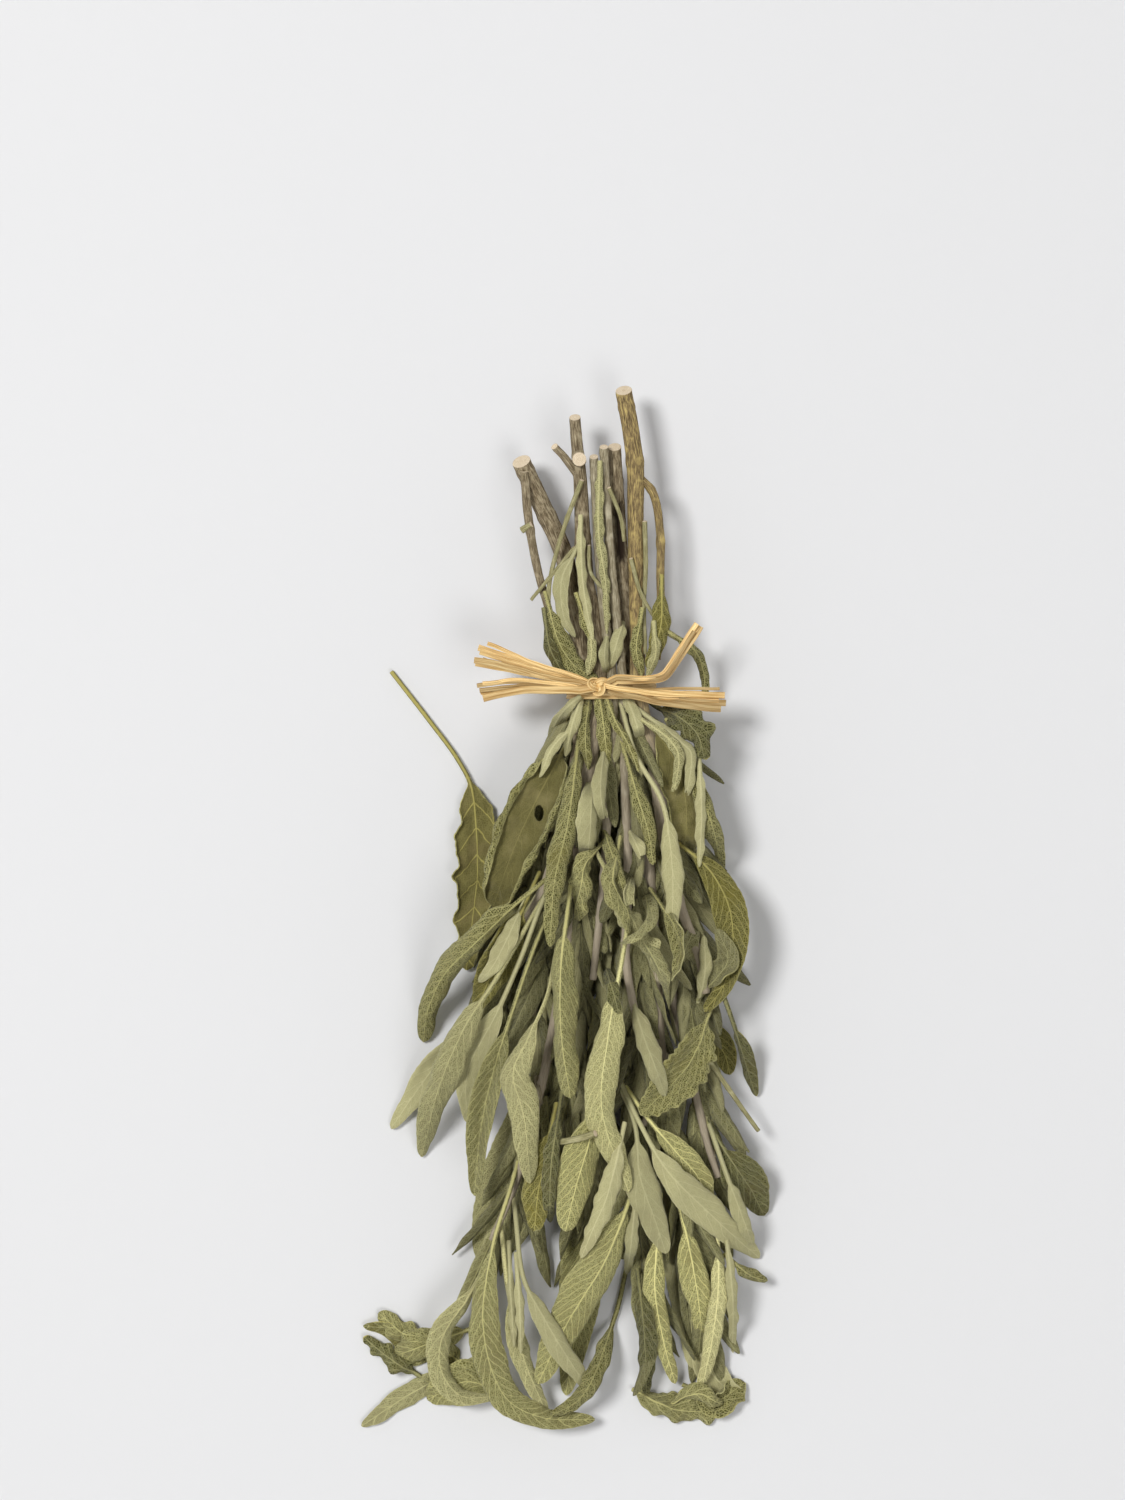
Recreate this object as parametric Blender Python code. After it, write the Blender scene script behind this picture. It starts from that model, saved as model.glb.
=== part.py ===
"""A dried bunch of sage, tied with raffia and lying on its back on a table.

Frame: metres, +Z up, the table is Z = 0. The bunch lies along Y: the cut stems point to +Y and
the leaf tips to -Y. All sizes below are in millimetres and are scaled to metres when meshes are
made. The pieces are placed from the bottom up: each leaf is draped over what already lies there.
"""

import math

import bmesh
import bpy
import numpy as np
from mathutils import Vector
from mathutils.bvhtree import BVHTree

MM = 0.001

# Driving dimensions, in millimetres.
LEAF_THICKNESS = 0.8
STALK_WIDTH = 1.8
TIP_WIDTH = 0.9
# The air that is kept between two pieces, so that they touch without cutting into each other.
GAP = 0.3
TIE_CENTRE = (14.6, 67.2, 12.6)
TIE_INSIDE = (25.6, 15.4)
TIE_WIDTH = 5.0
TIE_THICKNESS = 1.0
KNOT_SIZE = (6.4, 5.4, 4.2)
KNOT_SPOT = (10.5, 68.4)
# The heap: how high the middle of the bunch lies and how wide it is, along Y.
HEAP_Y = (-160.0, -130.0, -95.0, -50.0, 0.0, 35.0, 60.0, 80.0)
HEAP_TOP = (4.0, 11.0, 20.0, 27.0, 30.0, 27.0, 20.5, 19.0)
HEAP_HALF = (30.0, 40.0, 46.0, 44.0, 36.0, 25.0, 15.0, 14.0)
HEAP_MIDDLE = (0.0, 2.0, 5.0, 9.0, 11.0, 13.0, 14.5, 14.5)

# The outline of a blade: a power of a sine. The lean moves its widest place towards the stalk, and
# the fullness makes its sides rounder.
BLADE_LEAN = 0.82
BLADE_FULLNESS = 0.7
# A leaf folds and curls fully where it is at least 1 / FOLD_REACH of its full width.
FOLD_REACH = 2.2

# How finely the pieces are divided.
ROUTE_STEPS = 24
LEAF_RINGS = 9
LEAF_ACROSS = 5
SECTION_STEPS = 8
STEM_RINGS = 14
SHOOT_RINGS = 9
STEM_BEVEL = 2
TIE_END_POINTS = 10
KNOT_DIVISIONS = 3
SMOOTH_ANGLE = math.radians(50)
WELD_DISTANCE = 0.00001

# How a leaf is laid down: the points at which its height is found, the passes that stiffen it,
# and the steps, in millimetres, by which a ring that still touches is lifted.
SETTLE_PER_RING = 4
SETTLE_ACROSS = 9
SETTLE_PASSES = 400
LIFT_STEP = 0.25
LIFT_SHARED = 0.6
MOST_LIFTS = 200
# The points at which a laid piece raises the height grid.
COVER_ALONG = 49
COVER_ACROSS = 13
COVER_STEM = 160
COVER_STEM_SIDES = (-0.35, 0.0, 0.35)

# Colours of the pieces: red, green, blue, roughness.
GREEN_LEAF = (0.262, 0.278, 0.128, 0.85)
PALE_LEAF = (0.470, 0.455, 0.320, 0.90)
YELLOW_LEAF = (0.230, 0.225, 0.070, 0.80)
DARK_LEAF = (0.110, 0.125, 0.050, 0.85)
BROWN_BARK = (0.200, 0.150, 0.095, 0.85)
YOUNG_BARK = (0.330, 0.275, 0.210, 0.85)
RAFFIA = (0.700, 0.430, 0.190, 0.60)


# ---------------------------------------------------------------- routes and sections


def smooth_route(points, count):
    """A smooth curve through the points, as `count` points at even distances along it."""
    pts = np.array(points, float)
    steps = np.linalg.norm(np.diff(pts, axis=0), axis=1)
    knots = np.concatenate([[0.0], np.cumsum(np.sqrt(steps))])
    before = 2 * pts[0] - pts[1]
    after = 2 * pts[-1] - pts[-2]
    pts = np.vstack([before, pts, after])
    knots = np.concatenate([[2 * knots[0] - knots[1]], knots, [2 * knots[-1] - knots[-2]]])
    fine = []
    for i in range(1, len(pts) - 2):
        t0, t1, t2, t3 = knots[i - 1 : i + 3]
        m1 = (pts[i + 1] - pts[i - 1]) / (t2 - t0) * (t2 - t1)
        m2 = (pts[i + 2] - pts[i]) / (t3 - t1) * (t2 - t1)
        for u in np.linspace(0, 1, ROUTE_STEPS, endpoint=i == len(pts) - 3):
            start, start_slope = 2 * u**3 - 3 * u**2 + 1, u**3 - 2 * u**2 + u
            end, end_slope = 3 * u**2 - 2 * u**3, u**3 - u**2
            fine.append(start * pts[i] + start_slope * m1 + end * pts[i + 1] + end_slope * m2)
    fine = np.array(fine)
    run = np.concatenate([[0.0], np.cumsum(np.linalg.norm(np.diff(fine, axis=0), axis=1))])
    wanted = np.linspace(0, run[-1], count)
    return np.array([np.interp(wanted, run, fine[:, k]) for k in range(fine.shape[1])]).T


def leaf_half_width(leaf, share):
    """Half the leaf's width at a share of its length: a narrow stalk, then the blade."""
    stalk = leaf["stalk"]
    if leaf["strip"]:
        start, end = leaf["strip"]
        return (start + (end - start) * share) / 2
    bare = STALK_WIDTH / 2
    if share < stalk:
        return bare
    u = (share - stalk) / (1 - stalk)
    blade = leaf["width"] / 2 * math.sin(math.pi * min(u, 1.0) ** BLADE_LEAN) ** BLADE_FULLNESS
    return max(blade, bare * (1 - u) + TIP_WIDTH / 2 * u)


def section(leaf, share, across):
    """The cut through the leaf: points (sideways, up) and slopes, from its left to its right."""
    half = leaf_half_width(leaf, share)
    narrow = min(1.0, FOLD_REACH * half / leaf["width"])
    fold = math.radians(leaf["fold"]) * narrow
    curl = math.radians(leaf["curl"]) / 2 * narrow
    turn = math.radians(leaf["twist"][0] + (leaf["twist"][1] - leaf["twist"][0]) * share)
    v = np.linspace(-1, 1, SECTION_STEPS * (across - 1) + 1)
    slope = np.sign(v) * fold + v * curl
    step = half * (v[1] - v[0])
    middle = len(v) // 2
    mean = (slope[1:] + slope[:-1]) / 2
    side = np.concatenate([[0.0], np.cumsum(np.cos(mean) * step)])
    up = np.concatenate([[0.0], np.cumsum(np.sin(mean) * step)])
    side = (side - side[middle])[::SECTION_STEPS]
    up = (up - up[middle])[::SECTION_STEPS]
    slope = slope[::SECTION_STEPS] + turn
    cos, sin = math.cos(turn), math.sin(turn)
    return cos * side - sin * up, sin * side + cos * up, slope


def across_direction(route):
    """Level unit vectors square to the route, one for each of its points."""
    along = np.gradient(route[:, :2], axis=0)
    along /= np.linalg.norm(along, axis=1)[:, None]
    return np.stack([-along[:, 1], along[:, 0]], axis=1)


# ---------------------------------------------------------------- what already lies there


class Heap:
    """The height of the pile on a 1 mm grid, and the solids in it."""

    LOW = np.array([-80.0, -175.0])
    SHAPE = (160, 350)
    NEAR = 0.5

    def __init__(self):
        self.top = np.full(self.SHAPE, -GAP)
        self.solids = []

    def cells(self, xy):
        found = np.floor(np.asarray(xy) - self.LOW).astype(int)
        return np.clip(found[:, 0], 1, self.SHAPE[0] - 2), np.clip(found[:, 1], 1, self.SHAPE[1] - 2)

    def height(self, xy):
        i, j = self.cells(xy)
        return self.top[i, j]

    def cover(self, points):
        """Raise the grid to the points, each of which covers its cell and the eight around it."""
        i, j = self.cells(points[:, :2])
        for di in (-1, 0, 1):
            for dj in (-1, 0, 1):
                np.maximum.at(self.top, (i + di, j + dj), points[:, 2])

    def add_solid(self, points, faces):
        tree = BVHTree.FromPolygons(points.tolist(), faces)
        self.solids.append((tree, points.min(0), points.max(0)))

    def touched_faces(self, points, faces):
        """Which faces of a new solid cut into the solids that are already there."""
        low, high = points.min(0) - self.NEAR, points.max(0) + self.NEAR
        tree = BVHTree.FromPolygons(points.tolist(), faces)
        found = set()
        for other, other_low, other_high in self.solids:
            if np.all(low < other_high) and np.all(other_low < high):
                found.update(pair[0] for pair in tree.overlap(other))
        return found

    def add_clear_solid(self, name, points, faces):
        """Add a solid whose place is given, and stop if it cuts into one that is already there."""
        if self.touched_faces(points, faces):
            raise ValueError(f"{name} cuts into a piece that is already there")
        self.add_solid(points, faces)


def heap_top(xy):
    """The smooth crown of the bunch, which its front leaves lie on."""
    x, y = np.asarray(xy)[:, 0], np.asarray(xy)[:, 1]
    top = np.interp(y, HEAP_Y, HEAP_TOP)
    half = np.interp(y, HEAP_Y, HEAP_HALF)
    middle = np.interp(y, HEAP_Y, HEAP_MIDDLE)
    share = np.clip(1 - ((x - middle) / half) ** 2, 0, 1)
    return top * np.sqrt(share)


# ---------------------------------------------------------------- leaves


def settle(leaf, heap):
    """Heights of the leaf's middle line where it lies on the heap: stiff, so smoothed upwards."""
    count = SETTLE_PER_RING * (LEAF_RINGS - 1) + 1
    route = smooth_route(leaf["route"], count)
    sideways = across_direction(route)
    need = np.zeros(count)
    for i in range(count):
        side, up, _ = section(leaf, i / (count - 1), SETTLE_ACROSS)
        spots = route[i, :2] + side[:, None] * sideways[i]
        below = heap.height(spots)
        if leaf["front"]:
            below = np.maximum(below, heap_top(spots))
        need[i] = np.max(below - up) + LEAF_THICKNESS / 2 + GAP
    level = need.copy()
    for _ in range(SETTLE_PASSES):
        middle = (level[:-2] + level[2:]) / 2
        level[1:-1] = np.maximum(need[1:-1], middle)
        level[0] = max(need[0], 2 * level[1] - level[2] - leaf["droop"])
        level[-1] = max(need[-1], 2 * level[-2] - level[-3] - leaf["droop"])
    if leaf["strip"]:
        level = np.full(count, need.max())
    return level[::SETTLE_PER_RING]


def leaf_solid(leaf, route, levels, thickness):
    """Points and faces of the closed leaf: an upper and a lower grid, joined round the rim."""
    sideways = across_direction(route)
    upper, lower = [], []
    for i, level in enumerate(levels):
        side, up, slope = section(leaf, i / (len(levels) - 1), LEAF_ACROSS)
        for sheet, sign in ((upper, 1), (lower, -1)):
            out = side - sign * np.sin(slope) * thickness / 2
            high = level + up + sign * np.cos(slope) * thickness / 2
            spots = route[i, :2] + out[:, None] * sideways[i]
            sheet.extend(np.column_stack([spots, high]))
    points = np.array(upper + lower)
    half, wide, rows = len(upper), LEAF_ACROSS, len(levels)
    faces = []
    for i in range(rows - 1):
        for j in range(wide - 1):
            a, b, c, d = i * wide + j, i * wide + j + 1, (i + 1) * wide + j + 1, (i + 1) * wide + j
            faces += [(a, d, c, b), (half + a, half + b, half + c, half + d)]
        for j, flip in ((0, True), (wide - 1, False)):
            a, d = i * wide + j, (i + 1) * wide + j
            face = (a, d, half + d, half + a)
            faces.append(face[::-1] if flip else face)
    for i, flip in ((0, False), (rows - 1, True)):
        for j in range(wide - 1):
            a, b = i * wide + j, i * wide + j + 1
            face = (a, b, half + b, half + a)
            faces.append(face[::-1] if flip else face)
    return points, faces


def face_ring(face):
    """The ring nearest to a face, from its corners."""
    size = LEAF_RINGS * LEAF_ACROSS
    return round(sum((corner % size) // LEAF_ACROSS for corner in face) / len(face))


def add_leaf(leaf, heap, collection):
    """Drape the leaf, lift it clear where it still touches, and make its object."""
    route = smooth_route(leaf["route"], LEAF_RINGS)
    levels = settle(leaf, heap)
    for _ in range(MOST_LIFTS):
        fat = leaf_solid(leaf, route, levels, LEAF_THICKNESS + 2 * GAP)
        touched = heap.touched_faces(*fat)
        if not touched:
            break
        push = np.zeros(LEAF_RINGS)
        for face in touched:
            push[face_ring(fat[1][face])] = LIFT_STEP
        beside = np.maximum(np.roll(push, 1), np.roll(push, -1))
        levels = levels + np.maximum(push, LIFT_SHARED * beside)
    points, faces = leaf_solid(leaf, route, levels, LEAF_THICKNESS)
    low = points[:, 2].min()
    if low < 0:
        raise ValueError(f"{leaf['name']} is {low:.2f} mm under the table")
    make_object(leaf["name"], points, faces, leaf["colour"], collection)
    heap.add_solid(points, faces)
    cover_with_leaf(leaf, levels, heap)


def cover_with_leaf(leaf, levels, heap):
    """Raise the height grid to the upper side of a leaf that has been laid down."""
    route = smooth_route(leaf["route"], COVER_ALONG)
    shares = np.linspace(0, 1, COVER_ALONG)
    levels = np.interp(shares, np.linspace(0, 1, LEAF_RINGS), levels)
    sideways = across_direction(route)
    for i in range(COVER_ALONG):
        side, up, _ = section(leaf, i / (COVER_ALONG - 1), COVER_ACROSS)
        spots = route[i, :2] + side[:, None] * sideways[i]
        heap.cover(np.column_stack([spots, levels[i] + up + LEAF_THICKNESS / 2]))


def make_object(name, points, faces, colour, collection):
    """A mesh object from points in millimetres, smooth but for its rim."""
    mesh = bpy.data.meshes.new(name)
    mesh.from_pydata((points * MM).tolist(), [], faces)
    mesh.shade_smooth()
    mesh.set_sharp_from_angle(angle=SMOOTH_ANGLE)
    piece = bpy.data.objects.new(name, mesh)
    mesh.materials.append(plain_material(name, colour))
    collection.objects.link(piece)
    return piece


def plain_material(name, colour):
    """A plain material from red, green, blue and roughness."""
    material = bpy.data.materials.new(name)
    material.use_nodes = True
    shader = material.node_tree.nodes["Principled BSDF"]
    shader.inputs["Base Color"].default_value = (*colour[:3], 1)
    shader.inputs["Roughness"].default_value = colour[3]
    shader.inputs["Metallic"].default_value = 0
    return material


# ---------------------------------------------------------------- stems


def rod(name, points, collection, rings):
    """A stem through points (x, y, z, diameter), made with a bevelled curve, as a mesh object."""
    path = smooth_route(points, rings)
    data = bpy.data.curves.new(name, "CURVE")
    data.dimensions = "3D"
    data.bevel_depth = MM / 2
    data.bevel_resolution = STEM_BEVEL
    data.use_fill_caps = True
    line = data.splines.new("POLY")
    line.points.add(len(path) - 1)
    for point, (x, y, z, wide) in zip(line.points, path):
        point.co = (x * MM, y * MM, z * MM, 1)
        point.radius = wide
    curve = bpy.data.objects.new(name, data)
    collection.objects.link(curve)
    mesh = evaluated_mesh(curve)
    bpy.data.objects.remove(curve)
    weld(mesh)
    piece = bpy.data.objects.new(name, mesh)
    collection.objects.link(piece)
    return piece


def evaluated_mesh(piece):
    """A plain mesh of the object as its curve settings and modifiers make it."""
    bpy.context.view_layer.update()
    seen = piece.evaluated_get(bpy.context.evaluated_depsgraph_get())
    return bpy.data.meshes.new_from_object(seen)


def solid_of(mesh, place=None):
    """Points in millimetres and faces of a mesh, moved to its place."""
    corners = [place @ corner.co if place else corner.co for corner in mesh.vertices]
    points = np.array([corner[:] for corner in corners]) / MM
    return points, [tuple(face.vertices) for face in mesh.polygons]


def weld(mesh):
    """Join the doubled corners at the caps and turn every face outwards."""
    shape = bmesh.new()
    shape.from_mesh(mesh)
    bmesh.ops.remove_doubles(shape, verts=shape.verts, dist=WELD_DISTANCE)
    bmesh.ops.recalc_face_normals(shape, faces=shape.faces)
    shape.to_mesh(mesh)
    shape.free()


def fuse(main, shoot, guides):
    """Grow a side shoot onto a stem: a Boolean union, with the shoot kept as a hidden guide."""
    for home in list(shoot.users_collection):
        home.objects.unlink(shoot)
    guides.objects.link(shoot)
    shoot.hide_render = True
    shoot.display_type = "WIRE"
    union = main.modifiers.new("grown on", "BOOLEAN")
    union.operation = "UNION"
    union.solver = "EXACT"
    union.object = shoot


def add_stem(stem, heap, collection, guides):
    """Make a stem with its side shoots, check that it is clear, and raise the height grid to it."""
    piece = rod(stem["name"], stem["path"], collection, STEM_RINGS)
    piece.data.materials.append(plain_material(stem["name"], stem["colour"]))
    for number, shoot in enumerate(stem["shoots"]):
        shoot_name = f"{stem['name']}_shoot_{number}"
        fuse(piece, rod(shoot_name, shoot, collection, SHOOT_RINGS), guides)
    seen = evaluated_mesh(piece)
    heap.add_clear_solid(stem["name"], *solid_of(seen))
    bpy.data.meshes.remove(seen)
    for path in [stem["path"], *stem["shoots"]]:
        dense = smooth_route(path, COVER_STEM)
        for shift in COVER_STEM_SIDES:
            # The round top is a little lower beside its middle.
            high = dense[:, 2] + dense[:, 3] * (1 / 2 - abs(shift) / 4)
            heap.cover(np.column_stack([dense[:, 0] + shift * dense[:, 3], dense[:, 1], high]))


# ---------------------------------------------------------------- the raffia tie


def racetrack(wide, high):
    """A flat ring outline with round ends, anticlockwise, centred on zero."""
    end = high / 2
    straight = wide / 2 - end
    turn = np.linspace(-math.pi / 2, math.pi / 2, TIE_END_POINTS)
    right = np.column_stack([straight + end * np.cos(turn), end * np.sin(turn)])
    return np.vstack([right, -right])


def add_wrap(heap, collection):
    """The turns of raffia round the neck, as one flat ring that stands square to the stems."""
    data = bpy.data.curves.new("raffia_wrap", "CURVE")
    data.dimensions = "2D"
    data.fill_mode = "BOTH"
    data.extrude = TIE_WIDTH / 2 * MM
    for grow in (TIE_THICKNESS, 0.0):
        outline = racetrack(TIE_INSIDE[0] + 2 * grow, TIE_INSIDE[1] + 2 * grow)
        line = data.splines.new("POLY")
        line.use_cyclic_u = True
        line.points.add(len(outline) - 1)
        for point, (x, z) in zip(line.points, outline):
            point.co = (x * MM, z * MM, 0, 1)
    ring = bpy.data.objects.new("raffia_wrap", data)
    ring.location = Vector(TIE_CENTRE) * MM
    ring.rotation_euler = (math.pi / 2, 0, 0)
    data.materials.append(plain_material("raffia_wrap", RAFFIA))
    collection.objects.link(ring)
    seen = evaluated_mesh(ring)
    heap.add_clear_solid("raffia_wrap", *solid_of(seen, ring.matrix_world))
    bpy.data.meshes.remove(seen)
    x, y, z = TIE_CENTRE
    top = z + TIE_INSIDE[1] / 2 + TIE_THICKNESS
    half = TIE_INSIDE[0] / 2
    for across in np.linspace(-half, half, COVER_ALONG):
        for along in np.linspace(-TIE_WIDTH / 2, TIE_WIDTH / 2, LEAF_ACROSS):
            heap.cover(np.array([(x + across, y + along, top)]))


def add_knot(heap, collection):
    """The overhand knot: a soft lump that sits on the wrap."""
    bpy.ops.mesh.primitive_ico_sphere_add(subdivisions=KNOT_DIVISIONS, radius=0.5)
    knot = bpy.context.object
    knot.name = "raffia_knot"
    wide, deep, high = KNOT_SIZE
    top = TIE_CENTRE[2] + TIE_INSIDE[1] / 2 + TIE_THICKNESS
    centre = np.array([KNOT_SPOT[0], KNOT_SPOT[1], top + GAP + high / 2])
    for corner in knot.data.vertices:
        x, y, z = corner.co
        corner.co = Vector((x * wide, y * deep, z * high)) * MM + Vector(centre) * MM
    for home in list(knot.users_collection):
        home.objects.unlink(knot)
    collection.objects.link(knot)
    knot.data.shade_smooth()
    knot.data.materials.append(plain_material("raffia_knot", RAFFIA))
    points, faces = solid_of(knot.data)
    heap.add_solid(points, faces)
    heap.cover(points)


# ---------------------------------------------------------------- the pieces of this bunch


def leaf(name, route, width, colour, stalk=0.18, fold=0, curl=-50, twist=(0, 0), front=True,
         droop=0.05):
    """A leaf: its route over the bunch, its width and how it is folded, curled and twisted.

    stalk is the share of its length that is bare stalk. fold, curl and twist are degrees: the
    sides go up where fold and curl are positive and down where they are negative. A front leaf
    lies on the crown of the bunch. droop lets the ends hang below a straight line.
    """
    return dict(name=name, route=route, width=width, colour=colour, stalk=stalk, fold=fold,
                curl=curl, twist=twist, front=front, droop=droop, strip=None)


def strip(name, route, start, end):
    """A loose raffia end: a stiff strip that widens from start to end."""
    piece = leaf(name, route, end, RAFFIA, curl=-20, front=False, droop=0.01)
    piece["strip"] = (start, end)
    return piece


BACK_LEAVES = [
    leaf("back_leaf_left", [(1, 60), (-10, 30), (-19, 2), (-23, -32)], 15, PALE_LEAF, curl=40, front=False),
    leaf("back_leaf_middle", [(9, 52), (5, 18), (2, -16), (-3, -52)], 15, PALE_LEAF, curl=40, front=False),
    leaf("back_leaf_right", [(20, 54), (29, 24), (35, -6), (36, -40)], 15, PALE_LEAF, curl=40, front=False),
    leaf("back_leaf_low_left", [(-6, -40), (-14, -66), (-22, -92), (-25, -120)], 14, PALE_LEAF, curl=40,
         front=False),
    leaf("back_leaf_low_middle", [(8, -66), (7, -92), (5, -120), (1, -148)], 14, GREEN_LEAF, curl=30,
         front=False),
    leaf("back_leaf_low_right", [(24, -52), (31, -82), (37, -110), (40, -140)], 14, PALE_LEAF, curl=40,
         front=False),
]

STEMS = [
    dict(name="stem_back_left", colour=BROWN_BARK, shoots=[],
         path=[(5.5, 127, 8.6, 4.2), (7.5, 95, 8.4, 4.4), (8.0, 67, 8.3, 4.4), (2, 35, 7.5, 3.6),
               (-6, -5, 7.0, 3.0), (-11, -45, 7.0, 2.6), (-14, -74, 7.0, 2.2)]),
    dict(name="stem_back_right", colour=BROWN_BARK, shoots=[],
         path=[(15.5, 131, 8.6, 4.4), (14.6, 95, 8.5, 4.6), (14.0, 67, 8.4, 4.6), (21, 35, 8.0, 3.8),
               (30, -10, 8.0, 3.2), (38, -45, 9.5, 2.8), (43.5, -69, 11.5, 2.4), (47, -80, 12.0, 2.2)]),
    dict(name="stem_left_thick", colour=BROWN_BARK,
         shoots=[[(-11.6, 133.4, 14.6, 2.6), (-10.2, 118, 17.5, 2.6), (-7.5, 103, 17.6, 2.4),
                  (-3.9, 90, 16.8, 2.2), (-0.9, 76, 15.6, 2.0)]],
         path=[(-12.6, 136.4, 12.6, 5.7), (-6.0, 122.5, 12.4, 5.7), (0.4, 108, 12.4, 5.6),
               (3.6, 90, 13.0, 5.2), (6.2, 67, 14.6, 4.8), (2.2, 35, 15.0, 4.0), (-5.4, 8.4, 16.5, 3.2),
               (-12.3, -4.8, 16.5, 2.8), (-20.4, -21.9, 14.0, 2.4)]),
    dict(name="stem_middle_cut_stub", colour=BROWN_BARK,
         shoots=[[(4.8, 136.4, 15.6, 4.4), (4.9, 136.4, 20.4, 4.2)],
                 [(-2.6, 140.6, 16.6, 2.2), (0.8, 137.0, 16.4, 2.3), (4.8, 131.5, 16.2, 2.4)]],
         path=[(3.6, 149.4, 16.0, 3.4), (4.5, 139.2, 16.0, 3.6), (5.4, 128.7, 16.0, 4.2),
               (6.5, 103, 15.9, 4.8), (8.4, 92, 15.8, 4.8), (11.0, 67, 15.9, 4.6), (7, 38, 17.0, 4.0),
               (2.5, 0, 14.0, 3.2), (-4, -40, 12.5, 2.8), (-12.3, -75.3, 13.5, 2.4),
               (-16.5, -87, 13.0, 2.2), (-21.5, -99, 12.0, 2.0)]),
    dict(name="stem_ribbed_left", colour=YOUNG_BARK, shoots=[],
         path=[(9.3, 137.4, 17.6, 2.6), (10.8, 110, 17.2, 2.8), (12.2, 92, 16.6, 2.8), (15.1, 67, 16.4, 2.7),
               (14, 40, 17.5, 2.6), (12, 10, 18.0, 2.3), (9, -20, 16.0, 2.0)]),
    dict(name="stem_ribbed_right", colour=YOUNG_BARK, shoots=[],
         path=[(12.3, 140.4, 17.2, 2.6), (14.1, 110, 17.2, 2.7), (15.8, 92, 16.7, 2.8), (18.2, 67, 16.4, 2.7),
               (18.6, 40, 18.0, 2.6), (19.5, 10, 19.0, 2.6), (18.9, -14.1, 19.5, 2.4),
               (23.1, -34.8, 19.5, 2.2), (28.5, -45, 18.5, 2.0)]),
    dict(name="stem_hollow_brown", colour=BROWN_BARK, shoots=[],
         path=[(15.6, 140.7, 13.4, 4.0), (17.4, 112, 12.8, 4.2), (18.8, 92, 11.6, 4.0), (20.2, 67, 10.4, 3.8),
               (24, 36, 12.5, 3.8), (26.4, 5, 14.0, 3.7), (28.0, -25.8, 14.5, 3.6), (29.4, -46, 14.5, 3.0),
               (24.5, -64, 15.0, 2.4)]),
    dict(name="stem_right_tall", colour=BROWN_BARK,
         shoots=[[(23.0, 131.5, 16.0, 2.4), (27.3, 126.3, 16.4, 2.4), (29.3, 114.9, 16.4, 2.4),
                  (29.4, 102.9, 16.4, 2.4), (29.4, 90, 16.2, 2.3), (28.4, 76.4, 16.0, 2.1)]],
         path=[(18.3, 157.5, 16.0, 5.0), (20.4, 146.1, 16.0, 5.1), (21.9, 133.8, 16.0, 5.2),
               (21.9, 118, 16.0, 4.8), (22.2, 98, 16.0, 4.7), (22.6, 81.3, 15.9, 4.6),
               (22.7, 67, 15.7, 4.6), (27.4, 45, 18.0, 4.2), (30.5, 22, 18.5, 3.6), (35, 3, 17.5, 3.0),
               (40.5, -12, 17.5, 2.6), (43, -24, 17.5, 2.2)]),
]

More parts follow.
